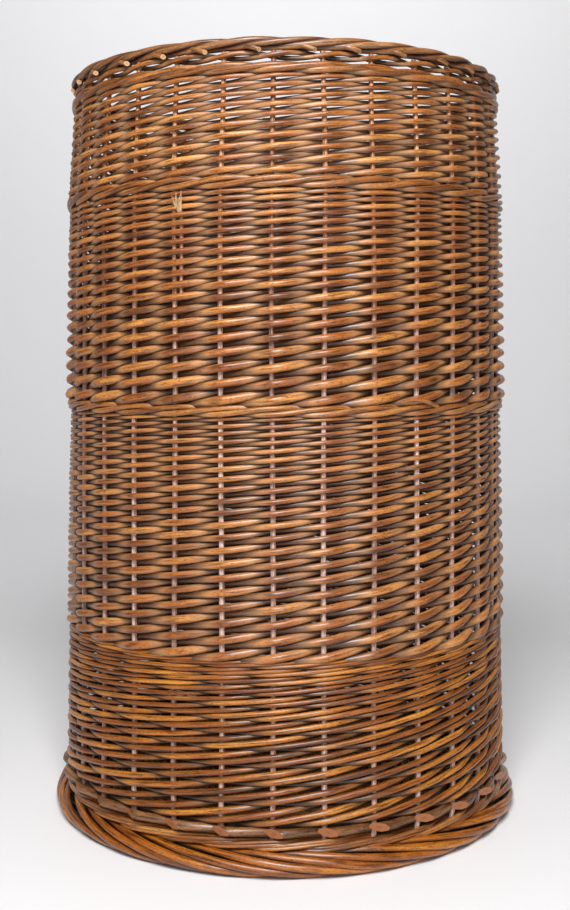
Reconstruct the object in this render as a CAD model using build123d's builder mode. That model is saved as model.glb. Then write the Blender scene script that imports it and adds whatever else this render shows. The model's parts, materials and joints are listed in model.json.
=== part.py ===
from build123d import *
import math
import os

# Tall round willow hamper, woven stake-and-strand, with a lid that hangs open behind the back wall.
# Millimetres. The origin is on the hamper's axis at the floor, +Z is up and -Y is the front.
# Every woven ring has one side per stake interval, because its rods bend at the stakes.

# Stakes: the upright rods that everything else is woven on
STAKE_COUNT = 30
STAKE_RADIUS = 2.5
STAKE_SIDES = 6
FIRST_STAKE_ANGLE = -92.9
FOOT_RING_RADIUS = 196.5
WALE_RING_RADIUS = 191.5
RIM_RING_RADIUS = 185.5
TAIL_RING_RADIUS = 140.0

# Heights of the rings, from the floor up
FOOT_BORDER_HEIGHT = 28.0
UPSETT_HEIGHT = 13.0
LOWER_BAND_HEIGHT = 128.0
MIDDLE_BAND_HEIGHT = 191.0
MIDDLE_WALE_HEIGHT = 10.0
UPPER_BAND_HEIGHT = 166.0
UPPER_WALE_HEIGHT = 12.0
TOP_BAND_HEIGHT = 76.0
TOP_WALE_HEIGHT = 18.0
TOP_BORDER_HEIGHT = 11.0

# Rods of the weave, the wales and the rolled top border
WEAVER_DIAMETER = 5.2
WEAVER_BUTT_DIAMETER = 5.6
WEAVER_TIP_DIAMETER = 3.4
WALE_ROD_DIAMETER = 6.7
WALE_BEVEL = 2.2
BORDER_WIDTH = 17.0
BORDER_BEVEL = 3.2

# Strokes of the tall bands: stakes that a rod passes, and its last stroke's rise as a share of the first's
LOWER_BAND_STROKES = 36
LOWER_BAND_CROWDING = 0.30
MIDDLE_BAND_STROKES = 42
MIDDLE_BAND_CROWDING = 0.42
UPPER_BAND_STROKES = 38
UPPER_BAND_CROWDING = 0.38

# The lowest rows of a tall band are wide apart, and the stakes show between them
OPEN_ROWS = 5
OPEN_ROW_SKIN = 0.5

# Foot border: how far it spreads past the weave, and the shape of its rounded outside
FOOT_SPREAD = 9.0
FOOT_TOE_BEVEL = 3.0
FOOT_TOE_HEIGHT = 11.0
FOOT_SHOULDER_HEIGHT = 21.0
FOOT_SHOULDER_INSET = 4.0
FOOT_LEDGE_DEPTH = 9.5

# Floor of the hamper
FLOOR_BELOW_UPSETT = 8.0
BASE_WEAVE_THICKNESS = 13.0
BASE_STICK_MARGIN = 4.0
SLATH_COUNT = 5
SLATH_HALF_LENGTH = 33.0
SLATH_HOLE_RADIUS = 44.0
PIERCED_RADIUS = 5.5
THREADED_RADIUS = 2.8
STICK_GAP = 1.2
STICK_SIDES = 6

# Lid
LID_OVERHANG = 6.0
LID_BORDER_WIDTH = 14.0
LID_THICKNESS = 12.0
LID_BEVEL = 3.0
LID_WEAVE_THICKNESS = 11.0
LID_STICK_MARGIN = 3.0
LID_PIERCED_RADIUS = 4.5
LID_THREADED_RADIUS = 2.3

# Hinge: skein loops round one straight stick
HINGE_STICK_RADIUS = 3.5
HINGE_STICK_LENGTH = 112.0
LOOP_THICKNESS = 3.0
LOOP_WIDTH = 8.0
LOOP_SIDES = 16
RIM_LOOP_SPACING = 90.0
LID_LOOP_SPACING = 40.0
LOOP_TAIL_DEPTH = 10.0
LOOP_STAND_OFF = 4.5

# Clearances
FIT = 0.3
LID_REST_GAP = 0.5
LID_WALL_GAP = 0.8
LID_HINGE_GAP = 2.5

# Levels worked out from the heights
UPSETT_Z = FOOT_BORDER_HEIGHT
LOWER_BAND_Z = UPSETT_Z + UPSETT_HEIGHT
MIDDLE_BAND_Z = LOWER_BAND_Z + LOWER_BAND_HEIGHT
MIDDLE_WALE_Z = MIDDLE_BAND_Z + MIDDLE_BAND_HEIGHT
UPPER_BAND_Z = MIDDLE_WALE_Z + MIDDLE_WALE_HEIGHT
UPPER_WALE_Z = UPPER_BAND_Z + UPPER_BAND_HEIGHT
TOP_BAND_Z = UPPER_WALE_Z + UPPER_WALE_HEIGHT
TOP_WALE_Z = TOP_BAND_Z + TOP_BAND_HEIGHT
TOP_BORDER_Z = TOP_WALE_Z + TOP_WALE_HEIGHT
RIM_Z = TOP_BORDER_Z + TOP_BORDER_HEIGHT
STAKE_KINK_Z = UPPER_WALE_Z + UPPER_WALE_HEIGHT / 2
STAKE_END_Z = TOP_BORDER_Z - FIT

# The floor: sticks and stake tails share one middle level, and the tails lie on the foot border's ledge
STAKE_PITCH = 360 / STAKE_COUNT
BASE_TOP_Z = FOOT_BORDER_HEIGHT - FLOOR_BELOW_UPSETT
BASE_BOTTOM_Z = BASE_TOP_Z - BASE_WEAVE_THICKNESS
BASE_MID_Z = BASE_TOP_Z - PIERCED_RADIUS - FIT
FOOT_LEDGE_Z = BASE_MID_Z - STAKE_RADIUS - FIT
FOOT_LEDGE_RADIUS = FOOT_RING_RADIUS - FOOT_LEDGE_DEPTH
BASE_STICK_REACH = FOOT_LEDGE_RADIUS - BASE_STICK_MARGIN

# Reach of the rods to each side of the stake circle
WEAVE_AT_STAKE = STAKE_RADIUS + WEAVER_DIAMETER
WEAVE_BETWEEN = WEAVER_DIAMETER / 2
WALE_INSIDE = STAKE_RADIUS + FIT
WALE_OUTSIDE = WALE_INSIDE + WALE_ROD_DIAMETER
RIM_OUTSIDE = RIM_RING_RADIUS + BORDER_WIDTH / 2
LID_RADIUS = RIM_OUTSIDE + LID_OVERHANG


def stake_circle(height):
    """Radius of the ring of stakes at a height: a slight taper, then a stronger lean above the upper wale."""
    if height <= STAKE_KINK_Z:
        share = (height - BASE_MID_Z) / (STAKE_KINK_Z - BASE_MID_Z)
        return FOOT_RING_RADIUS + share * (WALE_RING_RADIUS - FOOT_RING_RADIUS)
    share = (height - STAKE_KINK_Z) / (STAKE_END_Z - STAKE_KINK_Z)
    return WALE_RING_RADIUS + share * (RIM_RING_RADIUS - WALE_RING_RADIUS)


# Hinge line: the hanging lid clears the widest ring beside it, and the closed lid rests over the rim
LID_FOOT_Z = RIM_Z - 2 * LID_RADIUS
WALL_REACH = max(
    stake_circle(LID_FOOT_Z) + WEAVE_AT_STAKE,
    stake_circle(max(LID_FOOT_Z, MIDDLE_WALE_Z)) + WALE_OUTSIDE,
    WALE_RING_RADIUS + WALE_OUTSIDE,
    RIM_OUTSIDE,
)
LOOP_INSIDE = HINGE_STICK_RADIUS + FIT
LOOP_OUTSIDE = LOOP_INSIDE + LOOP_THICKNESS
HINGE_Y = max(
    WALL_REACH + LID_WALL_GAP + LID_THICKNESS / 2,
    LID_RADIUS + LOOP_OUTSIDE + LID_HINGE_GAP,
)
HINGE_Z = RIM_Z + LID_REST_GAP + LID_THICKNESS / 2

# The hanging lid's own frame at its middle: Y points to the hinge and Z out of its upper face
LID_PLANE = Plane(origin=(0, HINGE_Y, HINGE_Z - HINGE_Y), x_dir=(1, 0, 0), z_dir=(0, -1, 0))
LID_WEAVE_RADIUS = LID_RADIUS - LID_BORDER_WIDTH - FIT


def polar(radius, angle):
    """Point at a radius and an angle in degrees from +X."""
    return (radius * math.cos(math.radians(angle)), radius * math.sin(math.radians(angle)))


def write(piece, node):
    """Label a finished piece and write it as its own file."""
    piece.label = node
    export_step(piece, f"parts/{node}.step")


def ring_face(plane, at_stake, between=None, turn=0):
    """Face inside one turn round the stakes, with a corner at each stake and, if given, one between stakes.

    turn moves all corners round by an angle.
    """
    points = []
    for index in range(STAKE_COUNT):
        angle = FIRST_STAKE_ANGLE + index * STAKE_PITCH + turn
        points.append(polar(at_stake, angle))
        if between is not None:
            points.append(polar(between, angle + STAKE_PITCH / 2))
    with BuildSketch(plane) as inside:
        with BuildLine():
            Polyline(*points, close=True)
        make_face()
    return inside.sketch


def wall_faces(levels, at_stake, between=None):
    """Faces at several levels, at a distance outside the stake circle of each level.

    All have the proportions of the first, so that the sides of a loft through them are flat.
    """
    first = stake_circle(levels[0])
    faces = []
    for height in levels:
        corner = stake_circle(height) + at_stake
        valley = None if between is None else corner * (first + between) / (first + at_stake)
        faces.append(ring_face(Plane.XY.offset(height), corner, valley))
    return faces


def stake_channel(low, height):
    """Square channel that one stake stands in, on the +X side, a little longer than its band."""
    start = low - FIT
    end = low + height + FIT
    run = stake_circle(end) - stake_circle(start)
    width = 2 * (STAKE_RADIUS + FIT)
    with BuildPart() as channel:
        with BuildSketch(Plane.XY.offset(start)):
            with Locations((stake_circle(start), 0)):
                Rectangle(width, width)
        extrude(amount=math.hypot(run, end - start), dir=(run, 0, end - start))
    return channel.part


def open_rows(low, height, strokes, in_front, crowding):
    """Lower and upper edge of the gaps low in a band where the stakes show between two rows of strokes.

    Each rod runs in front of some stakes and behind the next, and rises at each stake, less towards its tip.
    """
    slowing = (1 - crowding) / 2
    first = low + WEAVER_BUTT_DIAMETER / 2
    run = low + height - WEAVER_TIP_DIAMETER / 2 - first

    def level(stroke):
        share = (stroke - 1) / (strokes - 2)
        return first + run * (share - slowing * share**2) / (1 - slowing)

    gaps = []
    for row in range(1, OPEN_ROWS + 1):
        behind = row * (in_front + 1)
        rod = WEAVER_BUTT_DIAMETER + (WEAVER_TIP_DIAMETER - WEAVER_BUTT_DIAMETER) * behind / strokes
        gaps.append((level(behind - 1) + rod / 2, level(behind + 1) - rod / 2))
    return gaps


def row_envelope(low, height, gaps, turn):
    """Solid with a groove round it at each gap and its corners turned by an angle from the stakes."""
    groove = STAKE_RADIUS + FIT + OPEN_ROW_SKIN
    ridge = WEAVE_AT_STAKE + FIT
    profile = [(low, ridge)]
    for start, end in gaps:
        profile += [(start, ridge), ((start + end) / 2, groove), (end, ridge)]
    profile.append((low + height, ridge))
    corner = math.cos(math.radians(turn))
    faces = [
        ring_face(Plane.XY.offset(level), (stake_circle(level) + reach) / corner, turn=turn)
        for level, reach in profile
    ]
    with BuildPart() as envelope:
        loft(faces, ruled=True)
    return envelope.part


def woven_band(node, low, height, in_front=1, gaps=()):
    """Band of weave: a wall that swells inside and outside round each stake, which stands in a channel.

    Strokes in front of two stakes run straight from one to the other, so there the outside has no swells.
    At the gaps the outside is drawn in to the stakes.
    """
    levels = (low, low + height)
    channel = stake_channel(low, height)
    between = WEAVE_BETWEEN if in_front == 1 else None
    with BuildPart() as band:
        loft(wall_faces(levels, WEAVE_AT_STAKE, between), ruled=True)
        if gaps:
            turn = STAKE_PITCH / 2 if in_front == 1 else 0
            add(row_envelope(low, height, gaps, turn), mode=Mode.INTERSECT)
        loft(wall_faces(levels, -WEAVE_AT_STAKE, -WEAVE_BETWEEN), ruled=True, mode=Mode.SUBTRACT)
        with PolarLocations(0, STAKE_COUNT, start_angle=FIRST_STAKE_ANGLE):
            add(channel, mode=Mode.SUBTRACT)
    write(band.part, node)


def wale_ring(node, low, height):
    """Wale: a rope of rods that runs in front of the stakes and stands proud of the weave."""
    high = low + height
    levels = [low, high]
    if low < STAKE_KINK_Z < high:
        levels.insert(1, STAKE_KINK_Z)
    with BuildPart() as wale:
        loft(
            [
                *wall_faces([low], WALE_OUTSIDE - WALE_BEVEL),
                *wall_faces([low + WALE_BEVEL, high - WALE_BEVEL], WALE_OUTSIDE),
                *wall_faces([high], WALE_OUTSIDE - WALE_BEVEL),
            ],
            ruled=True,
        )
        loft(wall_faces(levels, WALE_INSIDE), ruled=True, mode=Mode.SUBTRACT)
    write(wale.part, node)


def side_stakes():
    """The upright stakes: a tail in the floor, a sharp kink, the wall, and the lean above the upper wale."""
    for index in range(STAKE_COUNT):
        out = polar(1, FIRST_STAKE_ANGLE + index * STAKE_PITCH)
        upright = Plane(origin=(0, 0, 0), x_dir=(out[0], out[1], 0), z_dir=(out[1], -out[0], 0))
        with BuildPart() as stake:
            with BuildLine(upright) as run:
                Polyline(
                    (TAIL_RING_RADIUS, BASE_MID_Z),
                    (FOOT_RING_RADIUS, BASE_MID_Z),
                    (WALE_RING_RADIUS, STAKE_KINK_Z),
                    (RIM_RING_RADIUS, STAKE_END_Z),
                )
            with BuildSketch(Plane(origin=run.line @ 0, x_dir=(0, 0, 1), z_dir=run.line % 0)):
                RegularPolygon(STAKE_RADIUS, STAKE_SIDES)
            sweep(path=run.line, transition=Transition.RIGHT)
        write(stake.part, f"stake_{index + 1:02d}")


def foot_border():
    """Rolled foot border: a rounded skirt round the kinked stakes, with a ledge under their tails."""
    weave_edge = FOOT_RING_RADIUS + WEAVE_AT_STAKE
    toe = weave_edge + FOOT_SPREAD
    outline = (
        (0, toe - FOOT_TOE_BEVEL),
        (FOOT_TOE_BEVEL, toe),
        (FOOT_TOE_HEIGHT, toe),
        (FOOT_SHOULDER_HEIGHT, toe - FOOT_SHOULDER_INSET),
        (FOOT_BORDER_HEIGHT, weave_edge),
    )
    with BuildPart() as border:
        loft([ring_face(Plane.XY.offset(level), radius) for level, radius in outline], ruled=True)
        extrude(ring_face(Plane.XY, FOOT_LEDGE_RADIUS), amount=FOOT_LEDGE_Z, mode=Mode.SUBTRACT)
        extrude(
            ring_face(Plane.XY.offset(FOOT_LEDGE_Z), FOOT_RING_RADIUS + WALE_INSIDE),
            amount=FOOT_BORDER_HEIGHT - FOOT_LEDGE_Z,
            mode=Mode.SUBTRACT,
        )
    write(border.part, "foot_border")


def bevelled_faces(plane, radius, height, bevel):
    """Four faces up a round edge, drawn in by a bevel at the bottom and the top."""
    steps = ((0, bevel), (abs(bevel), 0), (height - abs(bevel), 0), (height, bevel))
    return [ring_face(plane.offset(lift), radius - inset) for lift, inset in steps]


def rim_edge(inner_x):
    """How far back the top border reaches at a distance from the middle."""
    return math.sqrt(RIM_OUTSIDE**2 - inner_x**2)


def top_border():
    """Rolled rim, with a slot in its underside for the tail of each rim loop."""
    low = Plane.XY.offset(TOP_BORDER_Z)
    tail_edge = rim_edge(RIM_LOOP_SPACING / 2) - LOOP_TAIL_DEPTH - FIT
    with BuildPart() as border:
        loft(bevelled_faces(low, RIM_OUTSIDE, TOP_BORDER_HEIGHT, BORDER_BEVEL), ruled=True)
        loft(
            bevelled_faces(low, RIM_OUTSIDE - BORDER_WIDTH, TOP_BORDER_HEIGHT, -BORDER_BEVEL),
            ruled=True,
            mode=Mode.SUBTRACT,
        )
        with BuildSketch(low):
            with GridLocations(RIM_LOOP_SPACING, 0, 2, 1):
                with Locations((0, tail_edge)):
                    Rectangle(LOOP_WIDTH + 2 * FIT, RIM_OUTSIDE, align=(Align.CENTER, Align.MIN))
        extrude(amount=LOOP_THICKNESS + FIT, mode=Mode.SUBTRACT)
    write(border.part, "top_border")


def slath_runs(pitch, reach_of):
    """Routes of one group of sticks along X: side by side at the cross, then fanned out to both sides.

    reach_of gives how far the stick end at an angle runs out from the middle.
    """
    fan = 90 / SLATH_COUNT
    runs = []
    for index in range(SLATH_COUNT):
        place = index - (SLATH_COUNT - 1) / 2
        angle = place * fan
        left = polar(reach_of(180 - angle), 180 - angle)
        right = polar(reach_of(angle), angle)
        cross = SLATH_HALF_LENGTH
        runs.append([left, (-cross, place * pitch), (cross, place * pitch), right])
    return runs


def crossing_plane(plane):
    """The same plane turned a quarter, for the group of sticks that crosses the first."""
    return Plane(origin=plane.origin, x_dir=plane.y_dir, z_dir=plane.z_dir)


def stick_group(plane, runs, radius):
    """Solids of one group of sticks."""
    with BuildPart() as sticks:
        for points in runs:
            with BuildLine(plane) as run:
                Polyline(*points)
            with BuildSketch(Plane(origin=run.line @ 0, x_dir=plane.z_dir, z_dir=run.line % 0)):
                RegularPolygon(radius, STICK_SIDES)
            sweep(path=run.line, transition=Transition.RIGHT)
    return sticks.part


def pierced_group(plane, runs, radius, threaded_radius):
    """Solids of the thick sticks, each slit at the middle where the thin ones pass through."""
    slit_height = 2 * (threaded_radius + FIT)
    slit_length = (SLATH_COUNT - 1) * (2 * threaded_radius + STICK_GAP) + slit_height
    across = SLATH_COUNT * (2 * radius + STICK_GAP)
    with BuildPart() as sticks:
        add(stick_group(plane, runs, radius))
        with Locations(plane):
            Box(slit_length, across, slit_height, mode=Mode.SUBTRACT)
    return sticks.part


def stick_grooves(plane, runs, radius):
    """Outlines, at the bottom of the sticks, of the grooves that they lie in outside the cross."""
    width = 2 * (radius + FIT)
    with BuildSketch(plane.offset(-radius - FIT)) as grooves:
        for left, cross_left, cross_right, right in runs:
            for start, end in ((cross_left, left), (cross_right, right)):
                turn = math.degrees(math.atan2(end[1] - start[1], end[0] - start[0]))
                with Locations(Location((start[0], start[1], 0), turn)):
                    Rectangle(math.dist(start, end) + FIT, width, align=(Align.MIN, Align.CENTER))
    return grooves.sketch


def base_stick_reach(radius, group_turn):
    """Rule for a base stick's reach: it stops short where a stake tail lies in line with it."""
    first_stake = -STAKE_PITCH / 2 - group_turn

    def reach_of(angle):
        apart = (angle - first_stake) % STAKE_PITCH
        apart = min(apart, STAKE_PITCH - apart)
        beside = TAIL_RING_RADIUS * math.sin(math.radians(apart))
        if beside < radius + STAKE_RADIUS + 2 * FIT:
            return TAIL_RING_RADIUS - 2 * FIT
        return BASE_STICK_REACH

    return reach_of


def hamper_floor():
    """The cross of base sticks, and the woven floor that they and the stake tails lie in."""
    axis = polar(1, FIRST_STAKE_ANGLE + STAKE_PITCH / 2)
    pierced_plane = Plane(origin=(0, 0, BASE_MID_Z), x_dir=(axis[0], axis[1], 0), z_dir=(0, 0, 1))
    threaded_plane = crossing_plane(pierced_plane)
    pierced_runs = slath_runs(2 * PIERCED_RADIUS + STICK_GAP, base_stick_reach(PIERCED_RADIUS, 0))
    threaded_runs = slath_runs(2 * THREADED_RADIUS + STICK_GAP, base_stick_reach(THREADED_RADIUS, 90))
    write(pierced_group(pierced_plane, pierced_runs, PIERCED_RADIUS, THREADED_RADIUS), "base_sticks_pierced")
    write(stick_group(threaded_plane, threaded_runs, THREADED_RADIUS), "base_sticks_threaded")

    floor_edge = FOOT_LEDGE_RADIUS - FIT
    with BuildPart() as base_weave:
        extrude(ring_face(Plane.XY.offset(BASE_BOTTOM_Z), floor_edge), amount=BASE_WEAVE_THICKNESS)
        with BuildSketch(Plane.XY.offset(BASE_BOTTOM_Z)):
            Circle(SLATH_HOLE_RADIUS)
        extrude(amount=BASE_WEAVE_THICKNESS, mode=Mode.SUBTRACT)
        for plane, runs, radius in (
            (pierced_plane, pierced_runs, PIERCED_RADIUS),
            (threaded_plane, threaded_runs, THREADED_RADIUS),
        ):
            extrude(stick_grooves(plane, runs, radius), amount=BASE_WEAVE_THICKNESS, mode=Mode.SUBTRACT)
        with BuildSketch(Plane.XY.offset(FOOT_LEDGE_Z)):
            with PolarLocations(TAIL_RING_RADIUS - FIT, STAKE_COUNT, start_angle=FIRST_STAKE_ANGLE):
                Rectangle(FOOT_RING_RADIUS, 2 * (STAKE_RADIUS + FIT), align=(Align.MIN, Align.CENTER))
        extrude(amount=BASE_TOP_Z - FOOT_LEDGE_Z, mode=Mode.SUBTRACT)
    write(base_weave.part, "base_weave")


def lid_panel():
    """The lid: a cross of sticks in a woven disc, inside a rolled border with slots for the lid loops."""
    stick_level = LID_WEAVE_THICKNESS / 2 - LID_PIERCED_RADIUS - FIT
    pierced_plane = LID_PLANE.offset(stick_level)
    threaded_plane = crossing_plane(pierced_plane)
    reach = LID_WEAVE_RADIUS - LID_STICK_MARGIN
    pierced_runs = slath_runs(2 * LID_PIERCED_RADIUS + STICK_GAP, lambda angle: reach)
    threaded_runs = slath_runs(2 * LID_THREADED_RADIUS + STICK_GAP, lambda angle: reach)
    write(
        pierced_group(pierced_plane, pierced_runs, LID_PIERCED_RADIUS, LID_THREADED_RADIUS),
        "lid_sticks_pierced",
    )
    write(stick_group(threaded_plane, threaded_runs, LID_THREADED_RADIUS), "lid_sticks_threaded")

    weave_low = LID_PLANE.offset(-LID_WEAVE_THICKNESS / 2)
    with BuildPart() as lid_weave:
        extrude(ring_face(weave_low, LID_WEAVE_RADIUS), amount=LID_WEAVE_THICKNESS)
        with BuildSketch(weave_low):
            Circle(SLATH_HOLE_RADIUS)
        extrude(amount=LID_WEAVE_THICKNESS, mode=Mode.SUBTRACT)
        for plane, runs, radius in (
            (pierced_plane, pierced_runs, LID_PIERCED_RADIUS),
            (threaded_plane, threaded_runs, LID_THREADED_RADIUS),
        ):
            extrude(stick_grooves(plane, runs, radius), amount=LID_WEAVE_THICKNESS, mode=Mode.SUBTRACT)
    write(lid_weave.part, "lid_weave")

    border_low = LID_PLANE.offset(-LID_THICKNESS / 2)
    with BuildPart() as lid_border:
        loft(bevelled_faces(border_low, LID_RADIUS, LID_THICKNESS, LID_BEVEL), ruled=True)
        extrude(
            ring_face(border_low, LID_RADIUS - LID_BORDER_WIDTH), amount=LID_THICKNESS, mode=Mode.SUBTRACT
        )
        with BuildSketch(LID_PLANE.offset(-LOOP_THICKNESS / 2 - FIT)):
            with GridLocations(LID_LOOP_SPACING, 0, 2, 1):
                with Locations((0, LID_RADIUS - LOOP_TAIL_DEPTH - FIT)):
                    Rectangle(LOOP_WIDTH + 2 * FIT, LID_BORDER_WIDTH, align=(Align.CENTER, Align.MIN))
        extrude(amount=LOOP_THICKNESS + 2 * FIT, mode=Mode.SUBTRACT)
    write(lid_border.part, "lid_border")


def hinge():
    """The straight hinge stick, the loops that hold it on the rim and the loops that tie it to the lid."""
    with BuildPart() as stick:
        with BuildSketch(Plane.YZ.offset(-HINGE_STICK_LENGTH / 2)):
            with Locations((HINGE_Y, HINGE_Z)):
                Circle(HINGE_STICK_RADIUS)
        extrude(amount=HINGE_STICK_LENGTH)
    write(stick.part, "hinge_stick")

    tail_z = TOP_BORDER_Z + LOOP_THICKNESS / 2
    tail_end = rim_edge(RIM_LOOP_SPACING / 2) - LOOP_TAIL_DEPTH
    tail_bend = rim_edge(RIM_LOOP_SPACING / 2 - LOOP_WIDTH / 2) + LOOP_STAND_OFF
    lid_tail_end = HINGE_Z - HINGE_Y + LID_RADIUS - LOOP_TAIL_DEPTH
    routes = (
        ("rim_loop", RIM_LOOP_SPACING, ((tail_end, tail_z), (tail_bend, tail_z), (HINGE_Y, HINGE_Z))),
        ("lid_loop", LID_LOOP_SPACING, ((HINGE_Y, lid_tail_end), (HINGE_Y, HINGE_Z))),
    )
    for name, spacing, route in routes:
        for side, place in (("left", -spacing / 2), ("right", spacing / 2)):
            with BuildPart() as loop:
                with BuildSketch(Plane.YZ.offset(place - LOOP_WIDTH / 2)):
                    with BuildLine() as tail:
                        Polyline(*route)
                    trace(tail.line, LOOP_THICKNESS)
                    with Locations((HINGE_Y, HINGE_Z)):
                        RegularPolygon(LOOP_OUTSIDE, LOOP_SIDES)
                        RegularPolygon(
                            LOOP_INSIDE, LOOP_SIDES, major_radius=False, mode=Mode.SUBTRACT
                        )
                extrude(amount=LOOP_WIDTH)
            write(loop.part, f"{name}_{side}")


os.makedirs("parts", exist_ok=True)

hamper_floor()
side_stakes()
foot_border()
wale_ring("upsett_wale", UPSETT_Z, UPSETT_HEIGHT)
woven_band(
    "lower_band",
    LOWER_BAND_Z,
    LOWER_BAND_HEIGHT,
    in_front=2,
    gaps=open_rows(LOWER_BAND_Z, LOWER_BAND_HEIGHT, LOWER_BAND_STROKES, 2, LOWER_BAND_CROWDING),
)
woven_band(
    "middle_band",
    MIDDLE_BAND_Z,
    MIDDLE_BAND_HEIGHT,
    gaps=open_rows(MIDDLE_BAND_Z, MIDDLE_BAND_HEIGHT, MIDDLE_BAND_STROKES, 1, MIDDLE_BAND_CROWDING),
)
wale_ring("middle_wale", MIDDLE_WALE_Z, MIDDLE_WALE_HEIGHT)
woven_band(
    "upper_band",
    UPPER_BAND_Z,
    UPPER_BAND_HEIGHT,
    gaps=open_rows(UPPER_BAND_Z, UPPER_BAND_HEIGHT, UPPER_BAND_STROKES, 1, UPPER_BAND_CROWDING),
)
wale_ring("upper_wale", UPPER_WALE_Z, UPPER_WALE_HEIGHT)
woven_band("top_band", TOP_BAND_Z, TOP_BAND_HEIGHT)
wale_ring("top_wale", TOP_WALE_Z, TOP_WALE_HEIGHT)
top_border()
lid_panel()
hinge()
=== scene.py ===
"""Round willow hamper with a hinged lid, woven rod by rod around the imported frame."""

import json
import logging
import math
from collections.abc import Callable
from dataclasses import dataclass
from enum import Enum

import bpy
from mathutils import Matrix, Vector


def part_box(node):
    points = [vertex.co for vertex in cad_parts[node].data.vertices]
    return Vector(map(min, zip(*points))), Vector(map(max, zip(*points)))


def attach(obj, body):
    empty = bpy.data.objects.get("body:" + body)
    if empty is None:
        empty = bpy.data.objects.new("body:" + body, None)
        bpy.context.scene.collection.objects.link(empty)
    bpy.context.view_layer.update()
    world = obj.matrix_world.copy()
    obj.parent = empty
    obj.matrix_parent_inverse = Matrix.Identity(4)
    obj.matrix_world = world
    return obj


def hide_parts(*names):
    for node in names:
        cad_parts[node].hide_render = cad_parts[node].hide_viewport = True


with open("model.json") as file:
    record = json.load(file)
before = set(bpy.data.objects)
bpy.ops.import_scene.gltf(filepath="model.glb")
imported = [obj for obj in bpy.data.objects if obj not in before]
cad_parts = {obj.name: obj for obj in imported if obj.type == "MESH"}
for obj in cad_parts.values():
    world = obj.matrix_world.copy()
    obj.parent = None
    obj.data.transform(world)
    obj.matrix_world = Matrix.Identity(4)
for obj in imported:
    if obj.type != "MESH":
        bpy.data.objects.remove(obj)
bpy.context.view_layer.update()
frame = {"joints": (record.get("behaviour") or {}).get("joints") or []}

LOG = logging.getLogger("hamper")
ROD_SIDES = 8
SIDE_CORNERS = 4
WALE_RODS = 3
PAIR_RODS = 2
OUT_OF_REACH = 1000.0
GRAIN_SHIFT = 3.7
# Shift of the crest along each stroke, which moves painted shade and sheen towards one half of it.
PAINTED_LIGHT_SHIFT = 0.09
FULL_TURN = 2 * math.pi
GOLDEN_STEP = 0.618
BASKET = "basket"
LID = "lid"

Colour = tuple[int, int, int]
Pair = tuple[float, float]
Triple = tuple[float, float, float]
WHITE: Colour = (255, 255, 255)


class Look(Enum):
    """Kinds of rod that differ in colour, in wear and in painted shade."""

    WEAVE = "weave"
    LOW_WEAVE = "low weave"
    TOP_WEAVE = "top weave"
    STAKE = "stake"
    STICK = "stick"
    RIM = "rim"
    FOOT = "foot"
    WALE = "wale"
    BUTT = "butt"
    SKEIN = "skein"
    FRAY = "fray"


class Field:
    """A value on every point of a node tree, with plain arithmetic."""

    def __init__(self, tree: "Nodes", socket: bpy.types.NodeSocket) -> None:
        """Keep the tree and the socket that gives the value."""
        self.tree = tree
        self.socket = socket

    def __add__(self, other: "Field | float") -> "Field":
        """Sum."""
        return self.tree.math("ADD", self, other)

    __radd__ = __add__

    def __sub__(self, other: "Field | float") -> "Field":
        """Difference."""
        return self.tree.math("SUBTRACT", self, other)

    def __rsub__(self, other: "Field | float") -> "Field":
        """Difference from a plain number."""
        return self.tree.math("SUBTRACT", other, self)

    def __mul__(self, other: "Field | float") -> "Field":
        """Product."""
        return self.tree.math("MULTIPLY", self, other)

    __rmul__ = __mul__

    def __truediv__(self, other: "Field | float") -> "Field":
        """Quotient."""
        return self.tree.math("DIVIDE", self, other)

    def floor(self) -> "Field":
        """Largest whole number that isn't above the value."""
        return self.tree.math("FLOOR", self)

    def size(self) -> "Field":
        """Value without its sign."""
        return self.tree.math("ABSOLUTE", self)

    def least(self, other: "Field | float") -> "Field":
        """Smaller of two values."""
        return self.tree.math("MINIMUM", self, other)

    def most(self, other: "Field | float") -> "Field":
        """Larger of two values."""
        return self.tree.math("MAXIMUM", self, other)

    def sine(self) -> "Field":
        """Sine of an angle in radians."""
        return self.tree.math("SINE", self)

    def cosine(self) -> "Field":
        """Cosine of an angle in radians."""
        return self.tree.math("COSINE", self)


class Nodes:
    """A node tree that is built from fields."""

    def __init__(self, tree: bpy.types.NodeTree) -> None:
        """Keep Blender's own tree."""
        self.tree = tree

    def node(self, kind: str, settings: dict | None = None, **values: object) -> bpy.types.Node:
        """Add a node.

        Args:
            kind: Blender's type name of the node.
            settings: Properties of the node itself.
            values: Values or sources of its sockets, by name with _ for a space, or "i" and a number.

        Returns:
            The new node.
        """
        made = self.tree.nodes.new(kind)
        for key, value in (settings or {}).items():
            setattr(made, key, value)
        for key, value in values.items():
            place = int(key[1:]) if key[0] == "i" and key[1:].isdigit() else key.replace("_", " ")
            self.feed(made.inputs[place], value)
        return made

    def feed(self, socket: bpy.types.NodeSocket, value: object) -> None:
        """Give a socket its value.

        Args:
            socket: Input of a node.
            value: Field or socket to link to it, or a plain value to set.
        """
        if isinstance(value, Field):
            self.tree.links.new(value.socket, socket)
        elif isinstance(value, bpy.types.NodeSocket):
            self.tree.links.new(value, socket)
        else:
            socket.default_value = value

    def math(self, operation: str, *values: "Field | float") -> Field:
        """Add one Math node.

        Args:
            operation: Blender's name of the operation.
            values: What it works on.

        Returns:
            Its result.
        """
        made = self.tree.nodes.new("ShaderNodeMath")
        made.operation = operation
        for socket, value in zip(made.inputs, values):
            self.feed(socket, value)
        return Field(self, made.outputs[0])

    def place(self, x: "Field | float", y: "Field | float", z: "Field | float") -> Field:
        """Point or vector with these three parts."""
        return Field(self, self.node("ShaderNodeCombineXYZ", i0=x, i1=y, i2=z).outputs[0])

    def parts(self, vector: Field) -> list[Field]:
        """The three parts of a vector."""
        return [Field(self, part) for part in self.node("ShaderNodeSeparateXYZ", i0=vector).outputs]


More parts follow.
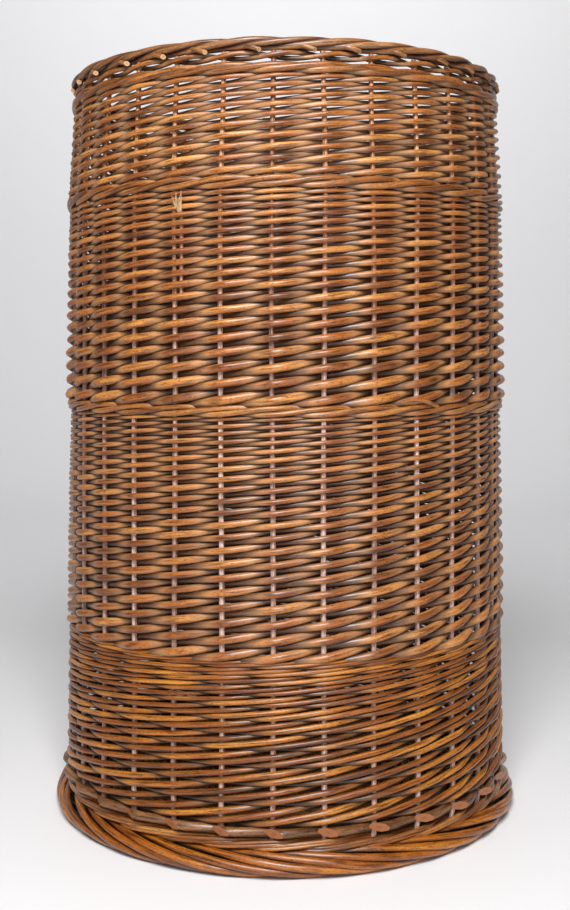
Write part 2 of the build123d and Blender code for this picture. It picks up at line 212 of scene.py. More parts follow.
class NodeTree(Nodes):
    """A Geometry Nodes tree that makes rods and has named inputs for their sizes."""

    noise_middle = 0.5
    noise_spread = 2.6

    def __init__(self, name: str) -> None:
        """Start an empty tree.

        Args:
            name: The tree's name in Blender.
        """
        super().__init__(bpy.data.node_groups.new(name, "GeometryNodeTree"))
        self.inputs: dict[str, str] = {}
        self.start = self.tree.nodes.new("NodeGroupInput")
        self.end = self.tree.nodes.new("NodeGroupOutput")
        self.given = self._socket("Geometry", "NodeSocketGeometry")
        self.tree.interface.new_socket("Geometry", in_out="OUTPUT", socket_type="NodeSocketGeometry")

    def _socket(self, name: str, kind: str) -> bpy.types.NodeSocket:
        """Add a named input.

        Args:
            name: The input's name.
            kind: Blender's type name of the socket.

        Returns:
            The socket that gives the input's value in the tree.
        """
        made = self.tree.interface.new_socket(name, in_out="INPUT", socket_type=kind)
        self.inputs[name] = made.identifier
        return next(s for s in self.start.outputs if s.identifier == made.identifier)

    def numbers(self, *names: str) -> list[Field]:
        """Named inputs for sizes and angles."""
        return [Field(self, self._socket(name, "NodeSocketFloat")) for name in names]

    def wholes(self, *names: str) -> list[Field]:
        """Named inputs for counts and seeds."""
        return [Field(self, self._socket(name, "NodeSocketInt")) for name in names]

    def index(self) -> Field:
        """Number of each point."""
        return Field(self, self.node("GeometryNodeInputIndex").outputs[0])

    def drift(self, along: Field, rod: Field, seed: Field, cells: Triple,
              layer: float = 0.0) -> Field:
        """Smooth random value from about -1 to 1 along a rod.

        Args:
            along: Place along the rod.
            rod: The rod's number.
            seed: The tree's seed.
            cells: Noise cells for each unit of these three.
            layer: Shift of the noise, for a second value at the same place.

        Returns:
            The random value.
        """
        spot = self.place(along * cells[0], rod * cells[1], seed * cells[2] + layer)
        made = self.node("ShaderNodeTexNoise", Vector=spot, Scale=1.0, Detail=1.0)
        return (Field(self, made.outputs[0]) - self.noise_middle) * self.noise_spread

    def chance(self, index: Field, seed: Field) -> Field:
        """Random value from 0 to 1 that belongs to an index."""
        made = self.node("FunctionNodeRandomValue", {"data_type": "FLOAT"}, ID=index, Seed=seed)
        return Field(self, made.outputs["Value_001" if "Value_001" in made.outputs else 1])

    def store(self, geometry: bpy.types.NodeSocket, name: str, value: object, kind: str = "FLOAT",
              domain: str = "POINT") -> bpy.types.NodeSocket:
        """Write a named attribute on a geometry.

        Args:
            geometry: The geometry.
            name: The attribute's name.
            value: Field or socket that gives its values.
            kind: Blender's name of the data type.
            domain: Blender's name of what carries the values.

        Returns:
            The geometry with the attribute.
        """
        settings = {"data_type": kind, "domain": domain}
        return self.node(
            "GeometryNodeStoreNamedAttribute", settings, Geometry=geometry, Name=name, Value=value
        ).outputs[0]

    def named(self, name: str, kind: str = "FLOAT") -> Field:
        """Value of a named attribute."""
        made = self.node("GeometryNodeInputNamedAttribute", {"data_type": kind}, Name=name)
        return Field(self, made.outputs[0])

    def crest(self) -> Field:
        """How far a point stands out of the weave.

        Returns:
            0.5 at the core of the weave, 1 on its outer face and 0 on the inside of the wall.
        """
        x, y, z = self.parts(Field(self, self.node("GeometryNodeInputPosition").outputs[0]))
        core_reach, core_level, _ = self.parts(self.named("core", "FLOAT_VECTOR"))
        half_width, half_height, is_wall = self.parts(self.named("swell", "FLOAT_VECTOR"))
        across = (self.math("SQRT", x * x + y * y) - core_reach) / half_width
        up = (z - core_level) / half_height
        all_round = self.math("SQRT", across * across + up * up)
        # The heel term tilts the crest along each stroke, so that painted shade and sheen lie more on one
        # half.
        return 0.5 + 0.5 * (all_round + (across - all_round) * is_wall) + PAINTED_LIGHT_SHIFT * self.named("heel")

    def join(self, count: Field, spot: Field, rod: Field, values: dict[str, Field],
             vectors: dict[str, Field]) -> None:
        """Make numbered points, join them into rods and end the tree.

        Args:
            count: Number of points of all rods together.
            spot: Place of each point.
            rod: Number of the rod that a point belongs to.
            values: The attributes tint, along and rod, and heel where the rods have one.
            vectors: The attributes core and swell.
        """
        points = self.node("GeometryNodePoints", Count=count, Position=spot).outputs[0]
        for kind, attributes in (("FLOAT", values), ("FLOAT_VECTOR", vectors)):
            for name, value in attributes.items():
                points = self.store(points, name, value, kind)
        self.rods(self.node("GeometryNodePointsToCurves", Points=points, Curve_Group_ID=rod).outputs[0])

    def rods(self, curves: bpy.types.NodeSocket) -> None:
        """Sweep curves into round rods with cut ends, give them their material and end the tree.

        Args:
            curves: The rods' middle lines, with the attributes tint, along, core, swell and the radius rod.
        """
        circle = self.node("GeometryNodeCurvePrimitiveCircle", Resolution=ROD_SIDES, Radius=1.0)
        spot = self.node("GeometryNodeInputPosition").outputs[0]
        profile = self.store(circle.outputs[0], "ring", spot, "FLOAT_VECTOR")
        swept = self.node(
            "GeometryNodeCurveToMesh", Curve=curves, Profile_Curve=profile, Scale=self.named("rod"),
            Fill_Caps=True,
        ).outputs[0]
        corners = self.node("GeometryNodeInputMeshFaceNeighbors").outputs[0]
        is_cut = self.math("GREATER_THAN", Field(self, corners), SIDE_CORNERS + 0.5)
        marked = self.store(swept, "cut_end", is_cut, "FLOAT", "FACE")
        marked = self.store(marked, "crest", self.crest())
        rounded = self.node("GeometryNodeSetShadeSmooth", Geometry=marked, Shade_Smooth=1.0 - is_cut)
        real = self.node("GeometryNodeRealizeInstances", Geometry=rounded.outputs[0])
        finish = self._socket("Finish", "NodeSocketMaterial")
        dressed = self.node("GeometryNodeSetMaterial", Geometry=real.outputs[0], Material=finish)
        self.feed(self.end.inputs[0], dressed.outputs[0])

    def grow(self, name: str, sizes: dict[str, float], finish: bpy.types.Material,
             seed_mesh: bpy.types.Mesh | None = None) -> bpy.types.Object:
        """Run the tree with its sizes and keep the result as a plain mesh.

        Args:
            name: The piece's name.
            sizes: Values of the tree's named inputs.
            finish: Material of the rods.
            seed_mesh: Mesh that the tree starts from, where it needs one.

        Returns:
            The piece, at the origin, with no modifier.
        """
        start = bpy.data.objects.new(name + "_start", seed_mesh or bpy.data.meshes.new(name + "_start"))
        bpy.context.scene.collection.objects.link(start)
        modifier = start.modifiers.new("Weave", "NODES")
        modifier.node_group = self.tree
        for key, value in sizes.items():
            modifier[self.inputs[key]] = value
        modifier[self.inputs["Finish"]] = finish
        graph = bpy.context.evaluated_depsgraph_get()
        mesh = bpy.data.meshes.new_from_object(start.evaluated_get(graph))
        mesh.name = name
        bpy.data.objects.remove(start)
        piece = bpy.data.objects.new(name, mesh)
        bpy.context.scene.collection.objects.link(piece)
        return piece


def woven_rods_tree() -> NodeTree:
    """Tree for rods that go in front of and behind a ring of stakes while they rise.

    Returns:
        The tree; its rods are side by side, each one stake after the one before.
    """
    tree = NodeTree("woven_rods")
    rods, steps, strokes, seed = tree.wholes("Rods", "Steps Per Stake", "Stakes Passed", "Seed")
    front, pitch, phase = tree.numbers("Stakes In Front", "Stake Pitch", "First Stake Angle")
    low, height, crowding = tree.numbers("Low Level", "Height", "Crowding")
    low_ring, high_ring = tree.numbers("Low Ring Radius", "High Ring Radius")
    stake, butt, tip = tree.numbers("Stake Radius", "Butt Radius", "Tip Radius")
    roping, kink, lag = tree.numbers("Roping", "Kink At Stake", "Lag Behind Stake")
    press, wobble = tree.numbers("Press On Stake", "Wobble")
    thinnest, thickness_spread = 0.93, 0.14
    sway_cells, bulge_cells, bulge_layer = (0.55, 3.1, 1.7), (0.45, 2.3, 2.9), 40.0

    index = tree.index()
    count = strokes * steps + 1.0
    rod = ((index + 0.5) / count).floor()
    stroke = (index - rod * count) / steps
    share = stroke / strokes
    slowing = (1.0 - crowding) / 2.0
    climb = (stroke - 1.0) / (strokes - 2.0)
    risen = (climb - slowing * climb * climb) / (1.0 - slowing)
    luck = tree.chance(rod, seed)
    radius = (butt + (tip - butt) * share) * (thinnest + thickness_spread * luck)
    period = front + 1.0
    late = stroke - lag
    away = (late - period * (late / period + 0.5).floor()).size().least(1.0)
    side = (2.0 * away - 1.0) * kink - (away * math.pi).cosine() * (1.0 - kink)
    side = (side * (1.0 + 2.0 * lag)).least(1.0).most(-1.0)
    rope = (stroke / period - 0.5) * FULL_TURN
    sway = tree.drift(stroke, rod, seed, sway_cells)
    bulge = tree.drift(stroke, rod, seed, bulge_cells, bulge_layer)
    ring = low_ring + (high_ring - low_ring) * risen
    reach = ring + side * (stake + radius) * (1.0 - press) + wobble * bulge
    level = low + height * risen + roping * radius * rope.sine() + wobble * sway
    turn = phase + (rod + stroke) * pitch
    spot = tree.place(reach * turn.sine(), 0.0 - reach * turn.cosine(), level)
    along = stroke * pitch * ring + rod * GRAIN_SHIFT
    tree.join(
        rods * count, spot, rod,
        {"tint": luck, "along": along, "heel": rope.sine(), "rod": radius},
        {"core": tree.place(ring, 0.0, 0.0), "swell": tree.place(stake + 2.0 * radius, OUT_OF_REACH, 1.0)},
    )
    return tree


def rolled_rods_tree() -> NodeTree:
    """Tree for rods that wind round a ring as a rolled border does.

    Returns:
        The tree; one of its rods starts at each stake.
    """
    tree = NodeTree("rolled_rods")
    rods, steps, seed = tree.wholes("Rods", "Steps Per Rod", "Seed")
    span, pitch, phase = tree.numbers("Stakes Spanned", "Stake Pitch", "First Stake Angle")
    ring, level, half_width, half_height = tree.numbers("Ring Radius", "Level", "Half Width", "Half Height")
    first_turn, last_turn = tree.numbers("First Roll Angle", "Last Roll Angle")
    butt, tip, wobble = tree.numbers("Butt Radius", "Tip Radius", "Wobble")
    thinnest, thickness_spread = 0.92, 0.16
    roll_stray, roll_cells, stray_cells = 0.3, (1.5, 2.7, 1.3), (3.0, 3.3, 2.1)

    index = tree.index()
    count = steps + 1.0
    rod = ((index + 0.5) / count).floor()
    share = (index - rod * count) / steps
    luck = tree.chance(rod, seed)
    radius = (butt + (tip - butt) * share) * (thinnest + thickness_spread * luck)
    roll = first_turn + (last_turn - first_turn) * share
    roll = roll + roll_stray * tree.drift(share, rod, seed, roll_cells)
    stray = wobble * tree.drift(share, rod, seed, stray_cells)
    reach = ring + (half_width + stray) * roll.cosine()
    rise = level + (half_height + stray) * roll.sine()
    turn = phase + (rod + share * span) * pitch
    spot = tree.place(reach * turn.sine(), 0.0 - reach * turn.cosine(), rise)
    along = share * span * pitch * ring + rod * GRAIN_SHIFT
    swell = tree.place(half_width + radius, half_height + radius, 0.0)
    tree.join(
        rods * count, spot, rod,
        {"tint": luck, "along": along, "rod": radius},
        {"core": tree.place(ring, level, 0.0), "swell": swell},
    )
    return tree


def twined_rods_tree() -> NodeTree:
    """Tree for pairs of rods that twine round the sticks of a flat round floor or lid.

    Returns:
        The tree; the colour of a rod changes where a new length is pieced in.
    """
    tree = NodeTree("twined_rods")
    sticks, steps, rounds, phase = tree.numbers("Sticks", "Steps Per Stick", "Rounds", "First Stick Angle")
    inner, outer, lift = tree.numbers("Inner Radius", "Outer Radius", "Lift At Stick")
    apart, butt, wobble = tree.numbers("Half Distance Between Sticks", "Butt Radius", "Wobble")
    (seed,) = tree.wholes("Seed")
    thinnest, thickness_spread = 0.9, 0.2
    sticks_per_length, most_lengths = 31.0, 50.0
    wobble_cells = (0.4, 5.1, 1.9)

    index = tree.index()
    count = (rounds * sticks * steps).floor() + 1.0
    rod = ((index + 0.5) / count).floor()
    passed = (index - rod * count) / steps
    share = passed / (rounds * sticks)
    length = (passed / sticks_per_length + rod * 0.5).floor()
    luck = tree.chance(length + rod * most_lengths, seed)
    radius = butt * (thinnest + thickness_spread * luck)
    twist = (passed + rod) * math.pi
    grown = (share * rounds / (rounds - 1.0)).least(1.0)
    ring = inner + (outer - inner) * grown + apart * twist.sine()
    ring = ring + wobble * tree.drift(passed, rod, seed, wobble_cells)
    turned = passed * FULL_TURN / sticks
    turn = phase + turned
    spot = tree.place(ring * turn.cosine(), ring * turn.sine(), lift * twist.cosine())
    tree.join(
        count * float(PAIR_RODS), spot, rod,
        {"tint": luck, "along": turned * ring + rod * GRAIN_SHIFT, "rod": radius},
        {"core": tree.place(0.0, 0.0, 0.0), "swell": tree.place(OUT_OF_REACH, lift + radius, 0.0)},
    )
    return tree


def routed_rods_tree() -> NodeTree:
    """Tree for single rods that follow routes.

    Returns:
        The tree; it starts from mesh edges with the point attributes rod and tint.
    """
    tree = NodeTree("routed_rods")
    (step,) = tree.numbers("Step Length")
    tint_shift = 9.0
    curves = tree.node("GeometryNodeMeshToCurve", Mesh=tree.given).outputs[0]
    smooth = tree.node("GeometryNodeCurveSplineType", {"spline_type": "CATMULL_ROM"}, Curve=curves)
    even = tree.node(
        "GeometryNodeResampleCurve", {"mode": "LENGTH"}, Curve=smooth.outputs[0], Length=step
    ).outputs[0]
    run = Field(tree, tree.node("GeometryNodeSplineParameter").outputs[1])
    even = tree.store(even, "along", run + tree.named("tint") * tint_shift)
    even = tree.store(even, "core", tree.place(OUT_OF_REACH, 0.0, 0.0), "FLOAT_VECTOR")
    even = tree.store(even, "swell", tree.place(1.0, OUT_OF_REACH, 0.0), "FLOAT_VECTOR")
    tree.rods(even)
    return tree


@dataclass(frozen=True)
class Route:
    """One rod's middle line."""

    points: list[Vector]
    butt: float
    tip: float
    tint: float


def routes_mesh(name: str, routes: list[Route]) -> bpy.types.Mesh:
    """Mesh of edges for the routed rods tree.

    Args:
        name: The mesh's name.
        routes: The rods.

    Returns:
        A mesh with the point attributes rod and tint.
    """
    places: list[Vector] = []
    edges: list[tuple[int, int]] = []
    radii: list[float] = []
    tints: list[float] = []
    for route in routes:
        first = len(places)
        last = len(route.points) - 1
        for number, point in enumerate(route.points):
            places.append(point)
            radii.append(route.butt + (route.tip - route.butt) * number / last)
            tints.append(route.tint)
            if number:
                edges.append((first + number - 1, first + number))
    mesh = bpy.data.meshes.new(name)
    mesh.from_pydata(places, edges, [])
    for key, values in (("rod", radii), ("tint", tints)):
        mesh.attributes.new(key, "FLOAT", "POINT").data.foreach_set("value", values)
    return mesh


def slant_ends(mesh: bpy.types.Mesh, slope: float, lean: float = 0.0) -> None:
    """Cut the rods' ends aslant, so that the cut faces look away from the Z axis.

    Args:
        mesh: Rods with the face attribute cut_end.
        slope: How far a cut runs along its rod, for each unit across it.
        lean: How far its lower edge lies along the rod, for each unit below its middle.
    """
    marks = mesh.attributes["cut_end"].data
    for face in mesh.polygons:
        if not marks[face.index].value:
            continue
        corners = [mesh.vertices[number] for number in face.vertices]
        middle = sum((corner.co for corner in corners), Vector()) / len(corners)
        outward = Vector((middle.x, middle.y, 0.0)).normalized()
        inward = -face.normal.copy()
        reach = max((corner.co - middle).dot(outward) for corner in corners)
        for corner in corners:
            across = corner.co - middle
            corner.co = corner.co + inward * (slope * (across.dot(outward) + reach) - lean * across.z)


def scatter(number: float, step: float = GOLDEN_STEP, start: float = 0.0) -> float:
    """Value from 0 to 1 that jumps about from one number to the next."""
    return (number * step + start) % 1.0


def linear(red: int, green: int, blue: int) -> tuple[float, float, float, float]:
    """Scene colour of a screen colour, by the usual screen curve.

    Args:
        red: Red in 0 to 255.
        green: Green in 0 to 255.
        blue: Blue in 0 to 255.

    Returns:
        The colour with full opacity.
    """
    parts = [value / 255 for value in (red, green, blue)]
    spread = [p / 12.92 if p <= 0.04045 else ((p + 0.055) / 1.055) ** 2.4 for p in parts]
    return (*spread, 1.0)


class Shades(Nodes):
    """A material's node tree."""

    def attribute(self, name: str, output: str = "Fac") -> Field:
        """Attribute of the piece."""
        return Field(self, self.node("ShaderNodeAttribute", {"attribute_name": name}).outputs[output])

    def noise(self, cells: Pair, detail: float, apart: float) -> Field:
        """Noise stretched along a rod.

        Args:
            cells: Noise cells per metre along the rod, and per radius across it.
            detail: Detail of the noise.
            apart: How many cells lie between rods of the lowest and the highest tint.

        Returns:
            The noise value.
        """
        x, y, _ = self.parts(self.attribute("ring", "Vector"))
        along = self.attribute("along") * cells[0] + self.attribute("tint") * apart
        spot = self.place(along, x * cells[1], y * cells[1])
        made = self.node("ShaderNodeTexNoise", Vector=spot, Scale=1.0, Detail=detail)
        return Field(self, made.outputs[0])

    def ramp(self, source: Field, levels: tuple[float, ...], colours: tuple[Colour, ...]) -> Field:
        """Turn a value into a colour.

        Args:
            source: The value.
            levels: Values that have a colour of their own, in rising order.
            colours: The colours at these levels.

        Returns:
            The colour.
        """
        made = self.node("ShaderNodeValToRGB", i0=source)
        band = made.color_ramp
        while len(band.elements) < len(levels):
            band.elements.new(0.5)
        for element, level, colour in zip(band.elements, levels, colours):
            element.position = level
            element.color = linear(*colour)
        return Field(self, made.outputs[0])

    def blend(self, mode: str, share: "Field | float", first: Field, second: Field) -> Field:
        """Mix two colours.

        Args:
            mode: Blender's name of the way to mix.
            share: How much of the second colour, from 0 to 1.
            first: The first colour.
            second: The second colour.

        Returns:
            The mixed colour.
        """
        # Inputs 6 and 7 and output 2 are the Mix node's colours; its other sockets have the same names.
        settings = {"data_type": "RGBA", "blend_type": mode}
        return Field(self, self.node("ShaderNodeMix", settings, i0=share, i6=first, i7=second).outputs[2])


@dataclass(frozen=True)
class Willow:
    """Old varnished willow: streaked, blotched, flecked, dusty and painted with shade and sheen in its
    recesses.

    Colours are screen colours in 0 to 255. Levels of the dusty colours with their painted shade and sheen,
    and of the painted shade in the grooves, run from 0 on the inside of the wall to 1 on the outer face of
    the weave. Cells are counted per metre along a rod, and per radius across it.
    """

    slot: str
    dark: Colour
    middle: Colour
    light: Colour
    cut: Colour = (205, 168, 118)
    cut_edge: float = 0.3
    # Crest colours: painted shade inside and in recesses, dusty with painted shade, pale dusty with painted
    # sheen.
    inside: Colour = (78, 54, 34)
    recess_shade: Colour = (54, 38, 30)
    grime_and_shade: Colour = (114, 88, 60)
    dust_and_painted_light: Colour = (202, 158, 114)
    # Painted shade in the grooves between rods; white paints none.
    groove_shade: Colour = WHITE
    high: Colour = WHITE
    high_levels: Pair = (0.0, 1.0)
    roughness: Pair = (0.34, 0.54)
    coat: float = 0.34
    coat_roughness: float = 0.24
    tint_share: float = 0.34
    tint_apart: float = 61.0
    tone_levels: Triple = (0.12, 0.5, 0.86)
    streak_cells: Pair = (55.0, 1.9)
    streak_detail: float = 4.0
    streak_levels: Pair = (0.31, 0.54)
    streak_shade: Colour = (140, 127, 117)
    streak_range: Pair = (0.3, 0.7)
    blotch_cells: Pair = (11.0, 0.5)
    blotch_detail: float = 2.0
    fleck_cells: Pair = (420.0, 5.0)
    fleck_detail: float = 1.0
    fleck_levels: Pair = (0.56, 0.68)
    fleck_shade: Colour = (104, 76, 54)
    fleck_share: float = 0.8
    dust_and_painted_light_levels: tuple[float, float, float, float] = (0.2, 0.52, 0.64, 0.76)
    cover_levels: Triple = (0.55, 0.72, 0.87)
    cover: tuple[Colour, Colour, Colour] = ((235, 235, 235), (160, 160, 160), (0, 0, 0))
    groove_shade_levels: Pair = (0.86, 0.96)
    cut_share: float = 0.85
    cut_levels: tuple[float, float, float, float] = (0.1, 0.35, 0.74, 0.9)
    pith_share: float = 0.8
    relief: float = 0.35
    relief_depth: float = 0.0006

    def build(self, name: str) -> bpy.types.Material:
        """Node material of this finish.

        Args:
            name: The material's name.

        Returns:
            The material.
        """
        material = bpy.data.materials.new(name)
        material.use_nodes = True
        shades = Shades(material.node_tree)
        streak = shades.noise(self.streak_cells, self.streak_detail, self.tint_apart)
        colour = self._dust_and_painted_light(shades, self._bark(shades, streak))
        _, _, level = shades.parts(Field(shades, shades.node("ShaderNodeTexCoord").outputs["Object"]))
        upper = shades.ramp(level, self.high_levels, (WHITE, self.high))
        colour = shades.blend("MULTIPLY", 1.0, colour, upper)
        bare = shades.attribute("cut_end") * self.cut_share
        colour = shades.blend("MIX", bare, colour, self._cut_face(shades))
        smoothest, roughest = self.roughness
        low, high = self.streak_range
        rough = shades.node(
            "ShaderNodeMapRange", Value=streak, From_Min=low, From_Max=high,
            To_Min=smoothest, To_Max=roughest,
        )
        bump = shades.node("ShaderNodeBump", Strength=self.relief, Distance=self.relief_depth, Height=streak)
        surface = {
            "Base Color": colour,
            "Roughness": rough.outputs["Result"],
            "Coat Weight": self.coat,
            "Coat Roughness": self.coat_roughness,
            "Normal": bump.outputs["Normal"],
        }
        for key, value in surface.items():
            shades.feed(material.node_tree.nodes["Principled BSDF"].inputs[key], value)
        return material

    def _bark(self, shades: Shades, streak: Field) -> Field:
        """Colour of the clean varnished bark.

        Args:
            shades: The material's node tree.
            streak: Noise of the long streaks.

        Returns:
            The colour, with its streaks and flecks.
        """
        blotch = shades.noise(self.blotch_cells, self.blotch_detail, self.tint_apart)
        fleck = shades.noise(self.fleck_cells, self.fleck_detail, self.tint_apart)
        tone = blotch + (shades.attribute("tint") - 0.5) * self.tint_share
        colour = shades.ramp(tone, self.tone_levels, (self.dark, self.middle, self.light))
        streaks = shades.ramp(streak, self.streak_levels, (self.streak_shade, WHITE))
        colour = shades.blend("MULTIPLY", 1.0, colour, streaks)
        flecks = shades.ramp(fleck, self.fleck_levels, (WHITE, self.fleck_shade))
        return shades.blend("MULTIPLY", self.fleck_share, colour, flecks)

    def _dust_and_painted_light(self, shades: Shades, colour: Field) -> Field:
        """Colour made dusty in the recesses, with painted shade there and a painted sheen where the rods
        turn in, and with painted shade in the grooves between rods.

        Args:
            shades: The material's node tree.
            colour: Colour of the clean bark.

        Returns:
            The colour, dusty and with its painted shade and sheen.
        """
        crest = shades.attribute("crest")
        # Painted shade in the recesses, and a pale dusty painted sheen where rods turn into the weave.
        dust_and_painted_light = shades.ramp(crest, self.dust_and_painted_light_levels, (self.inside, self.recess_shade, self.grime_and_shade, self.dust_and_painted_light))
        colour = shades.blend("MIX", shades.ramp(crest, self.cover_levels, self.cover), colour, dust_and_painted_light)
        # Painted shade in the grooves between rolled rods.
        painted_groove_shade = shades.ramp(crest, self.groove_shade_levels, (self.groove_shade, WHITE))
        return shades.blend("MULTIPLY", 1.0, colour, painted_groove_shade)

    def _cut_face(self, shades: Shades) -> Field:
        """Colour of a cut end.

        Args:
            shades: The material's node tree.

        Returns:
            The colour, from the dark pith to the edge.
        """
        ring = shades.attribute("ring", "Vector")
        length = shades.node("ShaderNodeVectorMath", {"operation": "LENGTH"}, i0=ring).outputs["Value"]
        pith = tuple(int(part * self.pith_share) for part in self.cut)
        edge = tuple(int(part + (255 - part) * self.cut_edge) for part in self.cut)
        return shades.ramp(Field(shades, length), self.cut_levels, (pith, self.cut, self.cut, edge))


FINISHES = {
    Look.WEAVE: Willow("woven_willow", (92, 46, 14), (162, 91, 30), (208, 142, 66)),
    # Lower band: darker rods, and near-black painted shade in the gaps.
    Look.LOW_WEAVE: Willow(
        "woven_willow", (82, 41, 4), (152, 82, 14), (214, 142, 48),
        inside=(22, 14, 7), recess_shade=(16, 10, 6), grime_and_shade=(46, 36, 20), dust_and_painted_light=(112, 84, 46), coat=0.3,
    ),
    # Top band: lighter rods, and lighter painted shade in the gaps.
    Look.TOP_WEAVE: Willow(
        "woven_willow", (104, 55, 18), (172, 100, 36), (214, 150, 74),
        inside=(116, 82, 52), recess_shade=(102, 74, 50), grime_and_shade=(140, 110, 80), dust_and_painted_light=(196, 160, 126),
    ),
    # Stakes: pale lavender-grey, partly their own colour and partly painted sheen; the high tint warms them
    # towards the top.
    Look.STAKE: Willow(
        "stake_willow", (160, 122, 108), (214, 172, 156), (240, 212, 198),
        high=(255, 224, 176), high_levels=(0.40, 0.52),
    ),
    Look.STICK: Willow("stick_willow", (104, 62, 28), (150, 94, 46), (186, 130, 74)),
    # Rim rods, with painted shade in the grooves between them.
    Look.RIM: Willow(
        "border_willow", (98, 58, 28), (150, 98, 52), (186, 136, 88),
        cut=(196, 150, 98), groove_shade=(132, 98, 76), coat=0.42,
    ),
    # Foot rods, with dark painted shade in the grooves between them.
    Look.FOOT: Willow(
        "border_willow", (98, 49, 4), (160, 87, 10), (200, 124, 28),
        groove_shade=(54, 36, 18), roughness=(0.32, 0.52),
    ),
    Look.WALE: Willow("wale_willow", (104, 56, 18), (158, 94, 36), (196, 136, 68)),
    Look.BUTT: Willow(
        "wale_willow", (82, 50, 22), (126, 82, 44), (162, 116, 70), cut=(160, 92, 42), cut_edge=0.0
    ),
    Look.SKEIN: Willow("skein_loop", (130, 82, 40), (176, 118, 62), (204, 152, 92)),
    Look.FRAY: Willow("stake_willow", (176, 138, 90), (208, 174, 124), (232, 208, 166)),
}


def settle(piece: bpy.types.Object, body: str, nodes: tuple[str, ...] = ()) -> bpy.types.Object:
    """Tie a finished piece to its body and the CAD nodes that it stands for.

    Args:
        piece: The piece, in place.
        body: The CAD body that it moves with.
        nodes: The CAD nodes that it replaces.

    Returns:
        The piece.
    """
    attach(piece, body)
    if nodes:
        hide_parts(*nodes)
    LOG.info("%s: %d faces", piece.name, len(piece.data.polygons))
    return piece


class Weaver:
    """The four trees and the finishes, shared by all sub-assemblies."""

    def __init__(self) -> None:
        """Build the trees and the materials once."""
        self.woven = woven_rods_tree()
        self.rolled = rolled_rods_tree()
        self.twined = twined_rods_tree()
        self.routed = routed_rods_tree()
        self.finish = {look: willow.build(look.value + " willow") for look, willow in FINISHES.items()}

    def routes(self, name: str, routes: list[Route], look: Look, step: float = 0.004) -> bpy.types.Object:
        """Piece of single rods that follow routes."""
        mesh = routes_mesh(name + "_routes", routes)
        return self.routed.grow(name, {"Step Length": step}, self.finish[look], mesh)


def low_level(node: str) -> float:
    """Lowest level of a CAD node."""
    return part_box(node)[0].z


def high_level(node: str) -> float:
    """Highest level of a CAD node."""
    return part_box(node)[1].z


def middle_level(node: str) -> float:
    """Level halfway up a CAD node."""
    return (low_level(node) + high_level(node)) / 2


@dataclass(frozen=True)
class StakeRing:
    """The ring of upright stakes that the wall is woven on; angles run to the right from the front."""

    count: int = 30
    first_angle: float = math.radians(-2.9)
    foot_radius: float = 0.1965
    wale_radius: float = 0.1915
    rim_radius: float = 0.1855
    tail_radius: float = 0.140
    butt: float = 0.0025
    tip: float = 0.00205
    bend: float = 0.012
    lower_levels: tuple[float, ...] = (0.12, 0.24, 0.36, 0.46)
    upper_level: float = 0.60
    lean: float = 0.02
    lean_waves: Pair = (2.4, 1.1)
    step: float = 0.012

    @property
    def pitch(self) -> float:
        """Angle from one stake to the next."""
        return FULL_TURN / self.count

    @property
    def tail_level(self) -> float:
        """Level of the stakes' tails, which lie beside the sticks of the floor."""
        return middle_level("base_sticks_pierced")

    @property
    def kink_level(self) -> float:
        """Level at which the stakes start to lean in."""
        return middle_level("upper_wale")

    @property
    def rim_level(self) -> float:
        """Level at which the stakes go into the top border."""
        return low_level("top_border")

    def circle(self, level: float) -> float:
        """Radius of the ring at a level.

        Args:
            level: The level, from the stakes' tails to the rim.

        Returns:
            The radius to the stakes' middle lines.
        """
        if level <= self.kink_level:
            share = (level - self.tail_level) / (self.kink_level - self.tail_level)
            return self.foot_radius + share * (self.wale_radius - self.foot_radius)
        share = (level - self.kink_level) / (self.rim_level - self.kink_level)
        return self.wale_radius + share * (self.rim_radius - self.wale_radius)

    def thickness(self, level: float) -> float:
        """Radius of a stake at a level."""
        return self.butt + (self.tip - self.butt) * level / self.rim_level

    def angle(self, stake: float) -> float:
        """Angle of a stake, or of a place between two stakes."""
        return self.first_angle + stake * self.pitch

    def point(self, stake: float, radius: float, level: float) -> Vector:
        """Place beside the ring, by stake number, radius and level."""
        turn = self.angle(stake)
        return Vector((radius * math.sin(turn), -radius * math.cos(turn), level))

    def build(self, weaver: Weaver) -> None:
        """The stakes, each with its tail in the floor.

        Args:
            weaver: Trees and finishes.
        """
        levels = (
            self.tail_level + self.bend, *self.lower_levels, self.kink_level, self.upper_level,
            self.rim_level,
        )
        stake_wave, level_wave = self.lean_waves
        routes = []
        for stake in range(self.count):
            points = [
                self.point(stake, self.tail_radius, self.tail_level),
                self.point(stake, self.foot_radius - self.bend, self.tail_level),
            ]
            for number, level in enumerate(levels):
                lean = self.lean * math.sin(stake * stake_wave + number * level_wave) if number else 0.0
                points.append(self.point(stake + lean, self.circle(level), level))
            routes.append(Route(points, self.butt, self.tip, scatter(stake)))
        piece = weaver.routes("side_stakes", routes, Look.STAKE, self.step)
        settle(piece, BASKET, tuple(f"stake_{n:02d}" for n in range(1, self.count + 1)))


